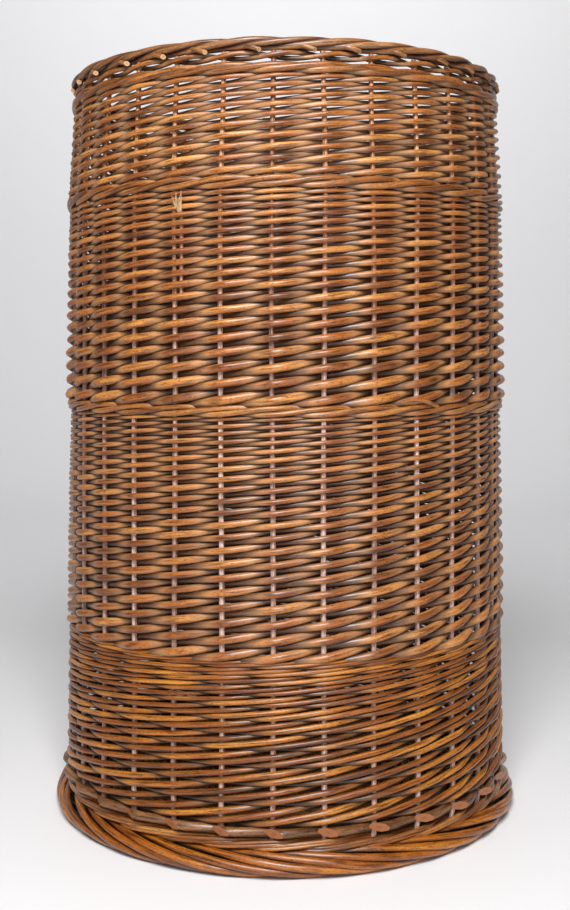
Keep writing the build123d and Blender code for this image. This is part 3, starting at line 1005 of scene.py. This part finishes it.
@dataclass(frozen=True)
class WovenRing:
    """One band of weave or one wale round the stakes."""

    node: str
    look: Look
    rods: int
    stakes_passed: int
    stakes_in_front: int
    butt: float
    tip: float
    seed: int
    crowding: float = 1.0
    roping: float = 0.0
    kink: float = 0.85
    lag: float = 0.05
    press: float = 0.1
    wobble: float = 0.0004
    steps: int = 8
    part: Pair = (0.0, 1.0)

    def levels(self) -> Pair:
        """Levels of the rows in front of the stakes, in this ring's part of the CAD node's height.

        Returns:
            Level of the first row and level of the last row, which are the same in a wale.
        """
        bottom, top = low_level(self.node), high_level(self.node)
        low = bottom + (top - bottom) * self.part[0] + self.butt
        high = bottom + (top - bottom) * self.part[1] - self.tip
        if self.rods <= WALE_RODS:
            return (low + high) / 2, (low + high) / 2
        return low, high

    def build(self, weaver: Weaver, ring: StakeRing) -> None:
        """The ring's rods, between the levels of its CAD node.

        Args:
            weaver: Trees and finishes.
            ring: The stakes.
        """
        low, high = self.levels()
        sizes = {
            "Rods": self.rods,
            "Steps Per Stake": self.steps,
            "Stakes Passed": self.stakes_passed,
            "Stakes In Front": float(self.stakes_in_front),
            "Stake Pitch": ring.pitch,
            "First Stake Angle": ring.first_angle,
            "Low Level": low,
            "Height": high - low,
            "Crowding": self.crowding,
            "Low Ring Radius": ring.circle(low),
            "High Ring Radius": ring.circle(high),
            "Stake Radius": ring.thickness((low + high) / 2),
            "Butt Radius": self.butt,
            "Tip Radius": self.tip,
            "Roping": self.roping,
            "Kink At Stake": self.kink,
            "Lag Behind Stake": self.lag,
            "Press On Stake": self.press,
            "Wobble": self.wobble,
            "Seed": self.seed,
        }
        above = self.part[0] > 0.0
        name = self.node + ("_rods_above" if above else "_rods")
        piece = weaver.woven.grow(name, sizes, weaver.finish[self.look])
        settle(piece, BASKET, () if above else (self.node,))


@dataclass(frozen=True)
class RolledBorder:
    """A border whose rods wind round a ring, one from each stake."""

    name: str
    rods: int
    span: float
    ring_radius: float
    level: float
    half_width: float
    half_height: float
    turns: Pair
    butt: float
    seed: int
    taper: float = 0.9
    wobble: float = 0.0004
    steps: int = 36

    def build(self, weaver: Weaver, phase: float, look: Look) -> bpy.types.Object:
        """The border's rods.

        Args:
            weaver: Trees and finishes.
            phase: Angle of the first rod's start.
            look: The rods' kind.

        Returns:
            The piece, flat round the Z axis.
        """
        first_turn, last_turn = self.turns
        sizes = {
            "Rods": self.rods,
            "Steps Per Rod": self.steps,
            "Stakes Spanned": self.span,
            "Stake Pitch": FULL_TURN / self.rods,
            "First Stake Angle": phase,
            "Ring Radius": self.ring_radius,
            "Level": self.level,
            "Half Width": self.half_width,
            "Half Height": self.half_height,
            "First Roll Angle": math.radians(first_turn),
            "Last Roll Angle": math.radians(last_turn),
            "Butt Radius": self.butt,
            "Tip Radius": self.butt * self.taper,
            "Wobble": self.wobble,
            "Seed": self.seed,
        }
        return weaver.rolled.grow(self.name, sizes, weaver.finish[look])


@dataclass(frozen=True)
class Wall:
    """The woven wall: bands, wales and the two borders.

    A course lists the points of one rod. In butt_course each has its place in stakes, the side of the stakes
    that it lies on, and how far it stands out and up from there.
    """

    ring: StakeRing
    border_rod: float = 0.0027
    border_span: float = 4.2
    border_turns: Pair = (-175.0, 205.0)
    stub_rod: float = 0.0019
    stub_slant: float = 0.7
    stub_step: float = 0.003
    stub_place: float = -0.22
    stub_stray: float = 0.07
    stub_wave: float = 1.9
    stub_tint_step: float = 0.37
    stub_backs: Triple = (0.42, 0.22, 0.0)
    stub_inset: float = 0.002
    stub_depths: Pair = (0.0022, 0.0014)
    stub_rises: Triple = (0.0045, 0.0020, -0.0008)
    foot_rod: float = 0.0034
    foot_span: float = 5.4
    foot_turns: Pair = (125.0, -145.0)
    foot_roll_width: float = 0.0100
    foot_roll_height: float = 0.0068
    foot_row_rod: float = 0.0018
    foot_row_rounds: int = 2
    foot_row_steps: int = 4
    foot_row_zone: Pair = (0.15, 0.75)
    foot_row_step: float = 0.006
    foot_row_taper: float = 0.9
    foot_row_tint_step: float = 0.4
    butt_rod: float = 0.0040
    butt_taper: float = 0.85
    butt_step: float = 0.0176
    butt_slant: float = 1.9
    butt_lean: float = 0.5
    butt_lift: float = 0.0008
    butt_tint_step: float = 0.53
    butt_course: tuple[tuple[float, float, float, float], ...] = (
        (-0.14, 1.0, 0.0016, 0.0),
        (0.26, 1.0, 0.0006, 0.0002),
        (0.58, 1.0, -0.0020, -0.0004),
        (0.84, 1.0, -0.0070, -0.0012),
        (1.2, 0.0, -0.0030, -0.0022),
        (1.7, -1.0, 0.0, -0.0030),
        (2.2, -1.0, 0.0, 0.0010),
    )

    def rings(self) -> tuple[WovenRing, ...]:
        """All rings that are woven round the stakes.

        Returns:
            The rings, from the foot up.
        """
        band = Look.WEAVE
        wale = Look.WALE
        rods = self.ring.count
        rope = {"kink": 0.4, "lag": 0.0}
        # Rods, stakes passed, stakes in front, radius at butt and tip, seed, crowding, roping.
        return (
            WovenRing("lower_band", Look.LOW_WEAVE, rods, 36, 2, 0.0027, 0.0014, 12, 0.30, 0.32, press=0.22),
            WovenRing("middle_band", band, rods, 42, 1, 0.0036, 0.0014, 13, 0.40, press=0.30),
            WovenRing("middle_wale", wale, WALE_RODS, rods, 2, 0.0022, 0.0021, 14, roping=1.3, **rope),
            WovenRing("upper_band", band, rods, 38, 1, 0.0036, 0.0016, 15, 0.38),
            WovenRing("upper_wale", wale, WALE_RODS, rods, 2, 0.0025, 0.0024, 16, roping=1.3, **rope),
            WovenRing("top_band", Look.TOP_WEAVE, rods, 20, 1, 0.0025, 0.00185, 17, 0.72),
            WovenRing("top_wale", wale, WALE_RODS, rods, 2, 0.0028, 0.0027, 18, roping=0.75,
                      part=(0.0, 0.56), **rope),
            WovenRing("top_wale", wale, PAIR_RODS, rods, 1, 0.0020, 0.0020, 19, roping=1.1,
                      part=(0.62, 0.98), **rope),
        )

    def build(self, weaver: Weaver) -> None:
        """Everything of the wall but the stakes.

        Args:
            weaver: Trees and finishes.
        """
        for woven in self.rings():
            woven.build(weaver, self.ring)
        self._butt_row(weaver)
        self._top_border(weaver)
        self._cut_ends(weaver)
        self._foot_border(weaver)
        self._foot_rows(weaver)

    def _butt_row(self, weaver: Weaver) -> None:
        """The row of thick butts, cut aslant in front of each stake, that the lower band starts from.

        Args:
            weaver: Trees and finishes.
        """
        level = middle_level("upsett_wale") + self.butt_lift
        aside = self.ring.butt + self.butt_rod
        circle = self.ring.circle(level)
        routes = []
        for stake in range(self.ring.count):
            points = [
                self.ring.point(stake + along, circle + side * aside + out, level + rise)
                for along, side, out, rise in self.butt_course
            ]
            tip = self.butt_rod * self.butt_taper
            routes.append(Route(points, self.butt_rod, tip, scatter(stake, self.butt_tint_step)))
        piece = weaver.routes("upsett_butts", routes, Look.BUTT, self.butt_step)
        slant_ends(piece.data, self.butt_slant, self.butt_lean)
        settle(piece, BASKET, ("upsett_wale",))

    def _top_border(self, weaver: Weaver) -> None:
        """The rolled rim.

        Args:
            weaver: Trees and finishes.
        """
        low, high = low_level("top_border"), high_level("top_border")
        ring = self.ring.rim_radius
        border = RolledBorder(
            "top_border_rods", rods=self.ring.count, span=self.border_span,
            ring_radius=ring, level=(low + high) / 2,
            half_width=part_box("top_border")[1].x - ring - self.border_rod,
            half_height=(high - low) / 2 - self.border_rod,
            turns=self.border_turns, butt=self.border_rod, seed=21,
        )
        settle(border.build(weaver, self.ring.first_angle, Look.RIM), BASKET, ("top_border",))

    def _cut_ends(self, weaver: Weaver) -> None:
        """The pale cut ends that come out under the rim.

        Args:
            weaver: Trees and finishes.
        """
        low = low_level("top_border")
        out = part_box("top_border")[1].x
        radii = (self.ring.rim_radius + self.stub_inset, *(out - depth for depth in self.stub_depths))
        routes = []
        for stake in range(self.ring.count):
            end = stake + self.stub_place + self.stub_stray * math.sin(stake * self.stub_wave)
            points = [
                self.ring.point(end - back, radius, low + rise)
                for back, radius, rise in zip(self.stub_backs, radii, self.stub_rises)
            ]
            routes.append(Route(points, self.stub_rod, self.stub_rod, scatter(stake, self.stub_tint_step)))
        stubs = weaver.routes("border_cut_ends", routes, Look.RIM, self.stub_step)
        slant_ends(stubs.data, self.stub_slant)
        settle(stubs, BASKET)

    def _foot_border(self, weaver: Weaver) -> None:
        """The thick rolled border that the hamper stands on.

        Args:
            weaver: Trees and finishes.
        """
        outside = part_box("foot_border")[1].x
        border = RolledBorder(
            "foot_border_rods", rods=self.ring.count, span=self.foot_span,
            ring_radius=outside - self.foot_rod - self.foot_roll_width,
            level=self.foot_roll_height + self.foot_rod,
            half_width=self.foot_roll_width, half_height=self.foot_roll_height,
            turns=self.foot_turns, butt=self.foot_rod, seed=22,
        )
        settle(border.build(weaver, self.ring.first_angle, Look.FOOT), BASKET, ("foot_border",))

    def _foot_rows(self, weaver: Weaver) -> None:
        """The rows of three thin rods between the foot border and the butts.

        Args:
            weaver: Trees and finishes.
        """
        low = 2 * (self.foot_roll_height + self.foot_rod)
        height = high_level("foot_border") - low
        first, last = self.foot_row_zone
        rod = self.foot_row_rod
        count = self.foot_row_rounds * self.ring.count * self.foot_row_steps
        routes = []
        for strand in range(WALE_RODS):
            points = []
            for step in range(count + 1):
                stroke = step / self.foot_row_steps
                away = abs(stroke - WALE_RODS * math.floor(stroke / WALE_RODS + 0.5))
                side = -math.cos(math.pi * min(away, 1.0))
                level = low + height * (first + (last - first) * step / count)
                level += rod * math.sin((stroke / WALE_RODS - 0.5) * FULL_TURN)
                reach = self.ring.circle(level) + side * (self.ring.butt + rod)
                points.append(self.ring.point(stroke + strand, reach, level))
            routes.append(Route(points, rod, rod * self.foot_row_taper, strand * self.foot_row_tint_step))
        settle(weaver.routes("foot_rows", routes, Look.WALE, self.foot_row_step), BASKET)


@dataclass(frozen=True)
class Wear:
    """Marks of wear: a stake doubled by a second rod, its frayed head, and a rod tip sprung from the wale.

    In sprung_course each point has its place in stakes, and how far it stands out and up.
    """

    ring: StakeRing
    stake: float = -1.84
    top_gap: float = 0.004
    length: float = 0.078
    rod: float = 0.0018
    tint: float = 0.3
    fibres: int = 9
    fibre_radii: Pair = (0.00045, 0.0002)
    fibre_step: float = 0.002
    fibre_spread: float = 0.022
    fibre_flare: Triple = (0.4, 1.0, 1.5)
    fibre_outs: Pair = (-0.003, 0.001)
    fibre_rises: Pair = (-0.012, -0.004)
    fibre_curl: float = 0.0022
    fibre_curls: int = 3
    fibre_tips: Pair = (-0.004, 0.004)
    head_out: float = 0.0062
    sprung_out: float = 0.0075
    sprung_tint: float = 0.8
    sprung_radii: Pair = (0.0019, 0.0009)
    sprung_course: tuple[Triple, ...] = (
        (3.45, -0.004, -0.003),
        (3.1, 0.0005, 0.0012),
        (2.75, 0.0012, 0.0035),
        (2.5, 0.0005, 0.0018),
    )

    def build(self, weaver: Weaver) -> None:
        """All marks of wear.

        Args:
            weaver: Trees and finishes.
        """
        self._doubled_stake(weaver)
        self._frayed_head(weaver)
        self._sprung_tip(weaver)

    @property
    def top(self) -> float:
        """Level of the doubled stake's head."""
        return low_level("upper_wale") - self.top_gap

    def _doubled_stake(self, weaver: Weaver) -> None:
        """The second rod beside a stake.

        Args:
            weaver: Trees and finishes.
        """
        bottom = self.top - self.length
        levels = (bottom, (bottom + self.top) / 2, self.top)
        points = [self.ring.point(self.stake, self.ring.circle(level), level) for level in levels]
        piece = weaver.routes("doubled_stake", [Route(points, self.rod, self.rod, self.tint)], Look.STAKE)
        settle(piece, BASKET)

    def _frayed_head(self, weaver: Weaver) -> None:
        """The fibres that stand up where the second rod is broken.

        Args:
            weaver: Trees and finishes.
        """
        out = self.ring.circle(self.top) + self.head_out
        lowest, highest = self.fibre_tips
        routes = []
        for number in range(self.fibres):
            spread = (number - self.fibres // 2) * self.fibre_spread
            outs = (*self.fibre_outs, self.fibre_curl * (number % self.fibre_curls))
            rises = (*self.fibre_rises, lowest + (highest - lowest) * scatter(number))
            points = [
                self.ring.point(self.stake + spread * flare, out + away, self.top + rise)
                for flare, away, rise in zip(self.fibre_flare, outs, rises)
            ]
            routes.append(Route(points, *self.fibre_radii, number / self.fibres))
        settle(weaver.routes("frayed_head", routes, Look.FRAY, self.fibre_step), BASKET)

    def _sprung_tip(self, weaver: Weaver) -> None:
        """The rod tip that has come out of the middle wale.

        Args:
            weaver: Trees and finishes.
        """
        level = high_level("middle_wale")
        out = self.ring.circle(level) + self.sprung_out
        points = [
            self.ring.point(stake, out + away, level + rise) for stake, away, rise in self.sprung_course
        ]
        piece = weaver.routes("sprung_tip", [Route(points, *self.sprung_radii, self.sprung_tint)], Look.WALE)
        settle(piece, BASKET)


@dataclass(frozen=True)
class RoundPanel:
    """A flat round of twined rods on a cross of sticks, as in the floor and the lid."""

    name: str
    body: str
    place: Matrix
    first_angle: float
    outer: float
    reach: float
    rod: float
    pierced: float
    threaded: float
    seed: int
    inner: float = 0.042
    rounds: int = 24
    count: int = 5
    cross: float = 0.033
    gap: float = 0.0012
    steps: int = 6
    spacing: float = 0.9
    wobble: float = 0.0005
    stick_step: float = 0.01
    stick_taper: float = 0.85
    tint_step: float = 0.41
    fan_bends: Pair = (0.12, 0.55)

    def build(self, weaver: Weaver) -> None:
        """Sticks and twining, moved to their place.

        Args:
            weaver: Trees and finishes.
        """
        sizes = {
            "Sticks": 4.0 * self.count,
            "Steps Per Stick": float(self.steps),
            "Rounds": float(self.rounds),
            "First Stick Angle": self.first_angle,
            "Inner Radius": self.inner + self.rod,
            "Outer Radius": self.outer - self.rod,
            "Lift At Stick": self.threaded + self.rod,
            "Half Distance Between Sticks": self.rod * self.spacing,
            "Butt Radius": self.rod,
            "Wobble": self.wobble,
            "Seed": self.seed,
        }
        twining = weaver.twined.grow(self.name + "_twining", sizes, weaver.finish[Look.WEAVE])
        twining.data.transform(self.place)
        settle(twining, self.body, (self.name + "_weave",))
        for kind, radius, turn in (("pierced", self.pierced, 0.0), ("threaded", self.threaded, math.pi / 2)):
            node = f"{self.name}_sticks_{kind}"
            piece = weaver.routes(node + "_rods", self._sticks(radius, turn), Look.STICK, self.stick_step)
            settle(piece, self.body, (node,))

    def _sticks(self, radius: float, turn: float) -> list[Route]:
        """One group of sticks: side by side at the cross, then fanned out.

        Args:
            radius: The sticks' radius.
            turn: Angle of the group, from the panel's first angle.

        Returns:
            The sticks' routes, in place.
        """
        spin = self.place @ Matrix.Rotation(self.first_angle + turn, 4, "Z")
        fan = math.pi / 2 / self.count
        routes = []
        for number in range(self.count):
            place = number - (self.count - 1) / 2
            side = place * (2 * radius + self.gap)
            far = Vector((self.reach * math.cos(place * fan), self.reach * math.sin(place * fan), 0.0))
            near = Vector((self.cross, side, 0.0))
            half = [near, *(near.lerp(far, bend) for bend in self.fan_bends), far]
            mirrored = [Vector((-point.x, point.y, 0.0)) for point in reversed(half)]
            points = [spin @ point for point in mirrored + [Vector((0.0, side, 0.0))] + half]
            tint = scatter(number, self.tint_step, turn)
            routes.append(Route(points, radius, radius * self.stick_taper, tint))
        return routes


@dataclass(frozen=True)
class Hinge:
    """The straight hinge stick, and the skein loops that hold it on the rim and on the lid."""

    axis: Vector
    stick_radius: float = 0.0035
    stick_lengths: int = 6
    stick_step: float = 0.008
    stick_tint: float = 0.4
    skein: float = 0.00142
    skein_pitch: float = 0.0027
    skein_step: float = 0.0015
    tint_step: float = 0.43
    tint_shift: float = 17.0
    wraps: int = 3
    wrap_steps: int = 18
    loop_radius: float = 0.0053
    rim_tail: float = 0.0145
    rim_wrap: Pair = (-120.0, 225.0)
    lid_wrap: Pair = (-75.0, 255.0)
    lid_tail: float = 2.2
    lid_side: float = 0.4

    def build(self, weaver: Weaver) -> None:
        """The stick and all four loops.

        Args:
            weaver: Trees and finishes.
        """
        low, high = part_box("hinge_stick")
        step = (high.x - low.x) / self.stick_lengths
        points = [
            Vector((low.x + n * step, self.axis.y, self.axis.z)) for n in range(self.stick_lengths + 1)
        ]
        route = Route(points, self.stick_radius, self.stick_radius, self.stick_tint)
        stick = weaver.routes("hinge_stick_rod", [route], Look.STICK, self.stick_step)
        settle(stick, LID, ("hinge_stick",))
        for side in ("left", "right"):
            self._loop(weaver, f"rim_loop_{side}", BASKET, self._rim_route)
            self._loop(weaver, f"lid_loop_{side}", LID, self._lid_route)

    def _loop(self, weaver: Weaver, node: str, body: str,
              route_of: Callable[[Vector], list[Pair]]) -> None:
        """One loop of skeins that lie side by side.

        Args:
            weaver: Trees and finishes.
            node: The CAD node of the loop.
            body: The body that the loop moves with.
            route_of: Function that gives the loop's route in the plane across the hinge.
        """
        low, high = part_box(node)
        middle = (low.x + high.x) / 2
        routes = []
        for wrap in range(self.wraps):
            x = middle + (wrap - (self.wraps - 1) / 2) * self.skein_pitch
            points = [Vector((x, y, z)) for y, z in route_of(low)]
            tint = scatter(wrap, self.tint_step, middle * self.tint_shift)
            routes.append(Route(points, self.skein, self.skein, tint))
        piece = weaver.routes(node + "_skeins", routes, Look.SKEIN, self.skein_step)
        settle(piece, body, (node,))

    def _turn(self, first: float, last: float) -> list[Pair]:
        """Way round the hinge stick, in the plane across it.

        Args:
            first: First angle in degrees, from +Y towards +Z.
            last: Last angle in degrees.

        Returns:
            Points as Y and Z.
        """
        steps = self.wrap_steps
        angles = [math.radians(first + (last - first) * n / steps) for n in range(steps + 1)]
        reach = self.loop_radius
        return [(self.axis.y + reach * math.cos(a), self.axis.z + reach * math.sin(a)) for a in angles]

    def _rim_route(self, low: Vector) -> list[Pair]:
        """Out of the rim, up to the stick and once round it."""
        level = low.z + self.skein
        return [(low.y, level), (low.y + self.rim_tail, level)] + self._turn(*self.rim_wrap)

    def _lid_route(self, low: Vector) -> list[Pair]:
        """Up out of the lid's border and once round the stick."""
        y = self.axis.y + self.skein * self.lid_side
        return [(y, low.z), (y, self.axis.z - self.lid_tail * self.loop_radius)] + self._turn(*self.lid_wrap)


@dataclass(frozen=True)
class LidPanel:
    """The round lid, built flat and hung behind the wall."""

    border_rod: float = 0.0029
    border_rods: int = 30
    border_span: float = 4.2
    border_turns: Pair = (-175.0, 205.0)
    border_width: float = 0.014
    thickness: float = 0.012
    stick_margin: float = 0.002
    rod: float = 0.0021
    pierced: float = 0.0036
    threaded: float = 0.0023

    def build(self, weaver: Weaver) -> None:
        """Border, twining and sticks.

        Args:
            weaver: Trees and finishes.
        """
        low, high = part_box("lid_border")
        radius = (high.z - low.z) / 2
        upright = Matrix(((1, 0, 0), (0, 0, -1), (0, 1, 0))).to_4x4()
        place = Matrix.Translation((low + high) / 2) @ upright
        half_width, half_height = self.border_width / 2, self.thickness / 2
        border = RolledBorder(
            "lid_border_rods", rods=self.border_rods, span=self.border_span,
            ring_radius=radius - half_width, level=0.0,
            half_width=half_width - self.border_rod, half_height=half_height - self.border_rod,
            turns=self.border_turns, butt=self.border_rod, seed=31,
        )
        piece = border.build(weaver, 0.0, Look.RIM)
        piece.data.transform(place)
        settle(piece, LID, ("lid_border",))
        inside = radius - self.border_width
        RoundPanel(
            "lid", LID, place, first_angle=0.0, outer=inside, reach=inside - self.stick_margin,
            rod=self.rod, pierced=self.pierced, threaded=self.threaded, seed=32,
        ).build(weaver)


@dataclass(frozen=True)
class FloorPanel:
    """The woven floor in the foot of the basket."""

    ring: StakeRing
    outer: float = 0.186
    reach: float = 0.183
    rod: float = 0.0023
    pierced: float = 0.0046
    threaded: float = 0.0026

    def build(self, weaver: Weaver) -> None:
        """Twining and sticks, turned so that the stakes' tails lie between the sticks.

        Args:
            weaver: Trees and finishes.
        """
        place = Matrix.Translation((0.0, 0.0, self.ring.tail_level))
        turn = self.ring.angle(0.5) - math.pi / 2
        RoundPanel(
            "base", BASKET, place, first_angle=turn, outer=self.outer, reach=self.reach,
            rod=self.rod, pierced=self.pierced, threaded=self.threaded, seed=41,
        ).build(weaver)


@dataclass(frozen=True)
class Lamp:
    """A square soft lamp."""

    name: str
    place: Triple
    aim: Triple
    size: float
    power: float

    def build(self) -> None:
        """The lamp, turned towards what it lights."""
        light = bpy.data.lights.new(self.name, "AREA")
        light.size = self.size
        light.energy = self.power
        made = bpy.data.objects.new(self.name, light)
        made.location = self.place
        made.rotation_euler = (Vector(self.aim) - Vector(self.place)).to_track_quat("-Z", "Y").to_euler()
        bpy.context.scene.collection.objects.link(made)


BODY_MIDDLE = (0.0, 0.0, 0.33)
LAMPS = (
    Lamp("window_light", (-0.06, -1.55, 1.6), BODY_MIDDLE, 0.8, 54.5),
    Lamp("sheen_light", (0.1, -2.1, 0.75), BODY_MIDDLE, 0.8, 6.0),
    Lamp("side_light", (-2.0, -1.2, 1.6), BODY_MIDDLE, 1.2, 1.2),
    Lamp("backdrop_light", (0.0, 0.9, 2.4), (0.0, 2.6, 2.2), 1.8, 31.0),
)


@dataclass(frozen=True)
class Stage:
    """Floor, backdrop, soft light and the camera."""

    floor_front: float = -4.0
    floor_depth: float = 2.6
    floor_half_width: float = 4.0
    floor_bend: float = 0.6
    floor_bend_steps: int = 12
    backdrop_height: float = 3.0
    floor_colour: Colour = (238, 238, 240)
    floor_roughness: float = 0.8
    sky_colour: tuple[float, float, float, float] = (1.0, 0.97, 0.93, 1.0)
    sky_strength: float = 0.11
    camera_distance: float = 1.140
    camera_height: float = 0.410
    camera_tilt: float = math.radians(3.2)
    focal_pixels: float = 1225.0
    frame_pixels: float = 910.0
    axis_pixel: float = 421.8
    sensor: float = 36.0

    def build(self) -> None:
        """Everything that isn't the object."""
        self._floor()
        for lamp in LAMPS:
            lamp.build()
        self._sky()
        self._camera()

    def _floor(self) -> None:
        """Pale floor that curves up into a pale backdrop."""
        bend = self.floor_bend
        flat = self.floor_depth - bend
        outline = [(self.floor_front, 0.0), (flat, 0.0)]
        for step in range(1, self.floor_bend_steps + 1):
            turn = math.pi / 2 * step / self.floor_bend_steps
            outline.append((flat + bend * math.sin(turn), bend - bend * math.cos(turn)))
        outline.append((self.floor_depth, self.backdrop_height))
        points = [(x, y, z) for y, z in outline for x in (-self.floor_half_width, self.floor_half_width)]
        faces = [(2 * n, 2 * n + 1, 2 * n + 3, 2 * n + 2) for n in range(len(outline) - 1)]
        mesh = bpy.data.meshes.new("sweep_floor")
        mesh.from_pydata(points, [], faces)
        for face in mesh.polygons:
            face.use_smooth = True
        material = bpy.data.materials.new("pale_floor")
        material.use_nodes = True
        shader = material.node_tree.nodes["Principled BSDF"]
        shader.inputs["Base Color"].default_value = linear(*self.floor_colour)
        shader.inputs["Roughness"].default_value = self.floor_roughness
        mesh.materials.append(material)
        floor = bpy.data.objects.new("sweep_floor", mesh)
        bpy.context.scene.collection.objects.link(floor)

    def _sky(self) -> None:
        """Even light from all sides."""
        world = bpy.data.worlds.new("even_sky")
        world.use_nodes = True
        background = world.node_tree.nodes["Background"]
        background.inputs["Color"].default_value = self.sky_colour
        background.inputs["Strength"].default_value = self.sky_strength
        bpy.context.scene.world = world

    def _camera(self) -> None:
        """Camera at the photograph's place and angle."""
        lens = bpy.data.cameras.new("photo_camera")
        lens.sensor_width = self.sensor
        lens.lens = self.focal_pixels / self.frame_pixels * self.sensor
        lens.shift_y = (self.axis_pixel - self.frame_pixels / 2) / self.frame_pixels
        camera = bpy.data.objects.new("photo_camera", lens)
        camera.location = (0.0, -self.camera_distance, self.camera_height)
        camera.rotation_euler = (math.pi / 2 - self.camera_tilt, 0.0, 0.0)
        bpy.context.scene.collection.objects.link(camera)
        bpy.context.scene.camera = camera
        bpy.context.scene.view_settings.view_transform = "Standard"


def main() -> None:
    logging.basicConfig(level=logging.INFO, format="%(message)s")
    weaver = Weaver()
    ring = StakeRing()
    ring.build(weaver)
    Wall(ring).build(weaver)
    Wear(ring).build(weaver)
    FloorPanel(ring).build(weaver)
    LidPanel().build(weaver)
    Hinge(Vector(frame["joints"][0]["pos_m"])).build(weaver)
    Stage().build()


if __name__ == "__main__":
    main()
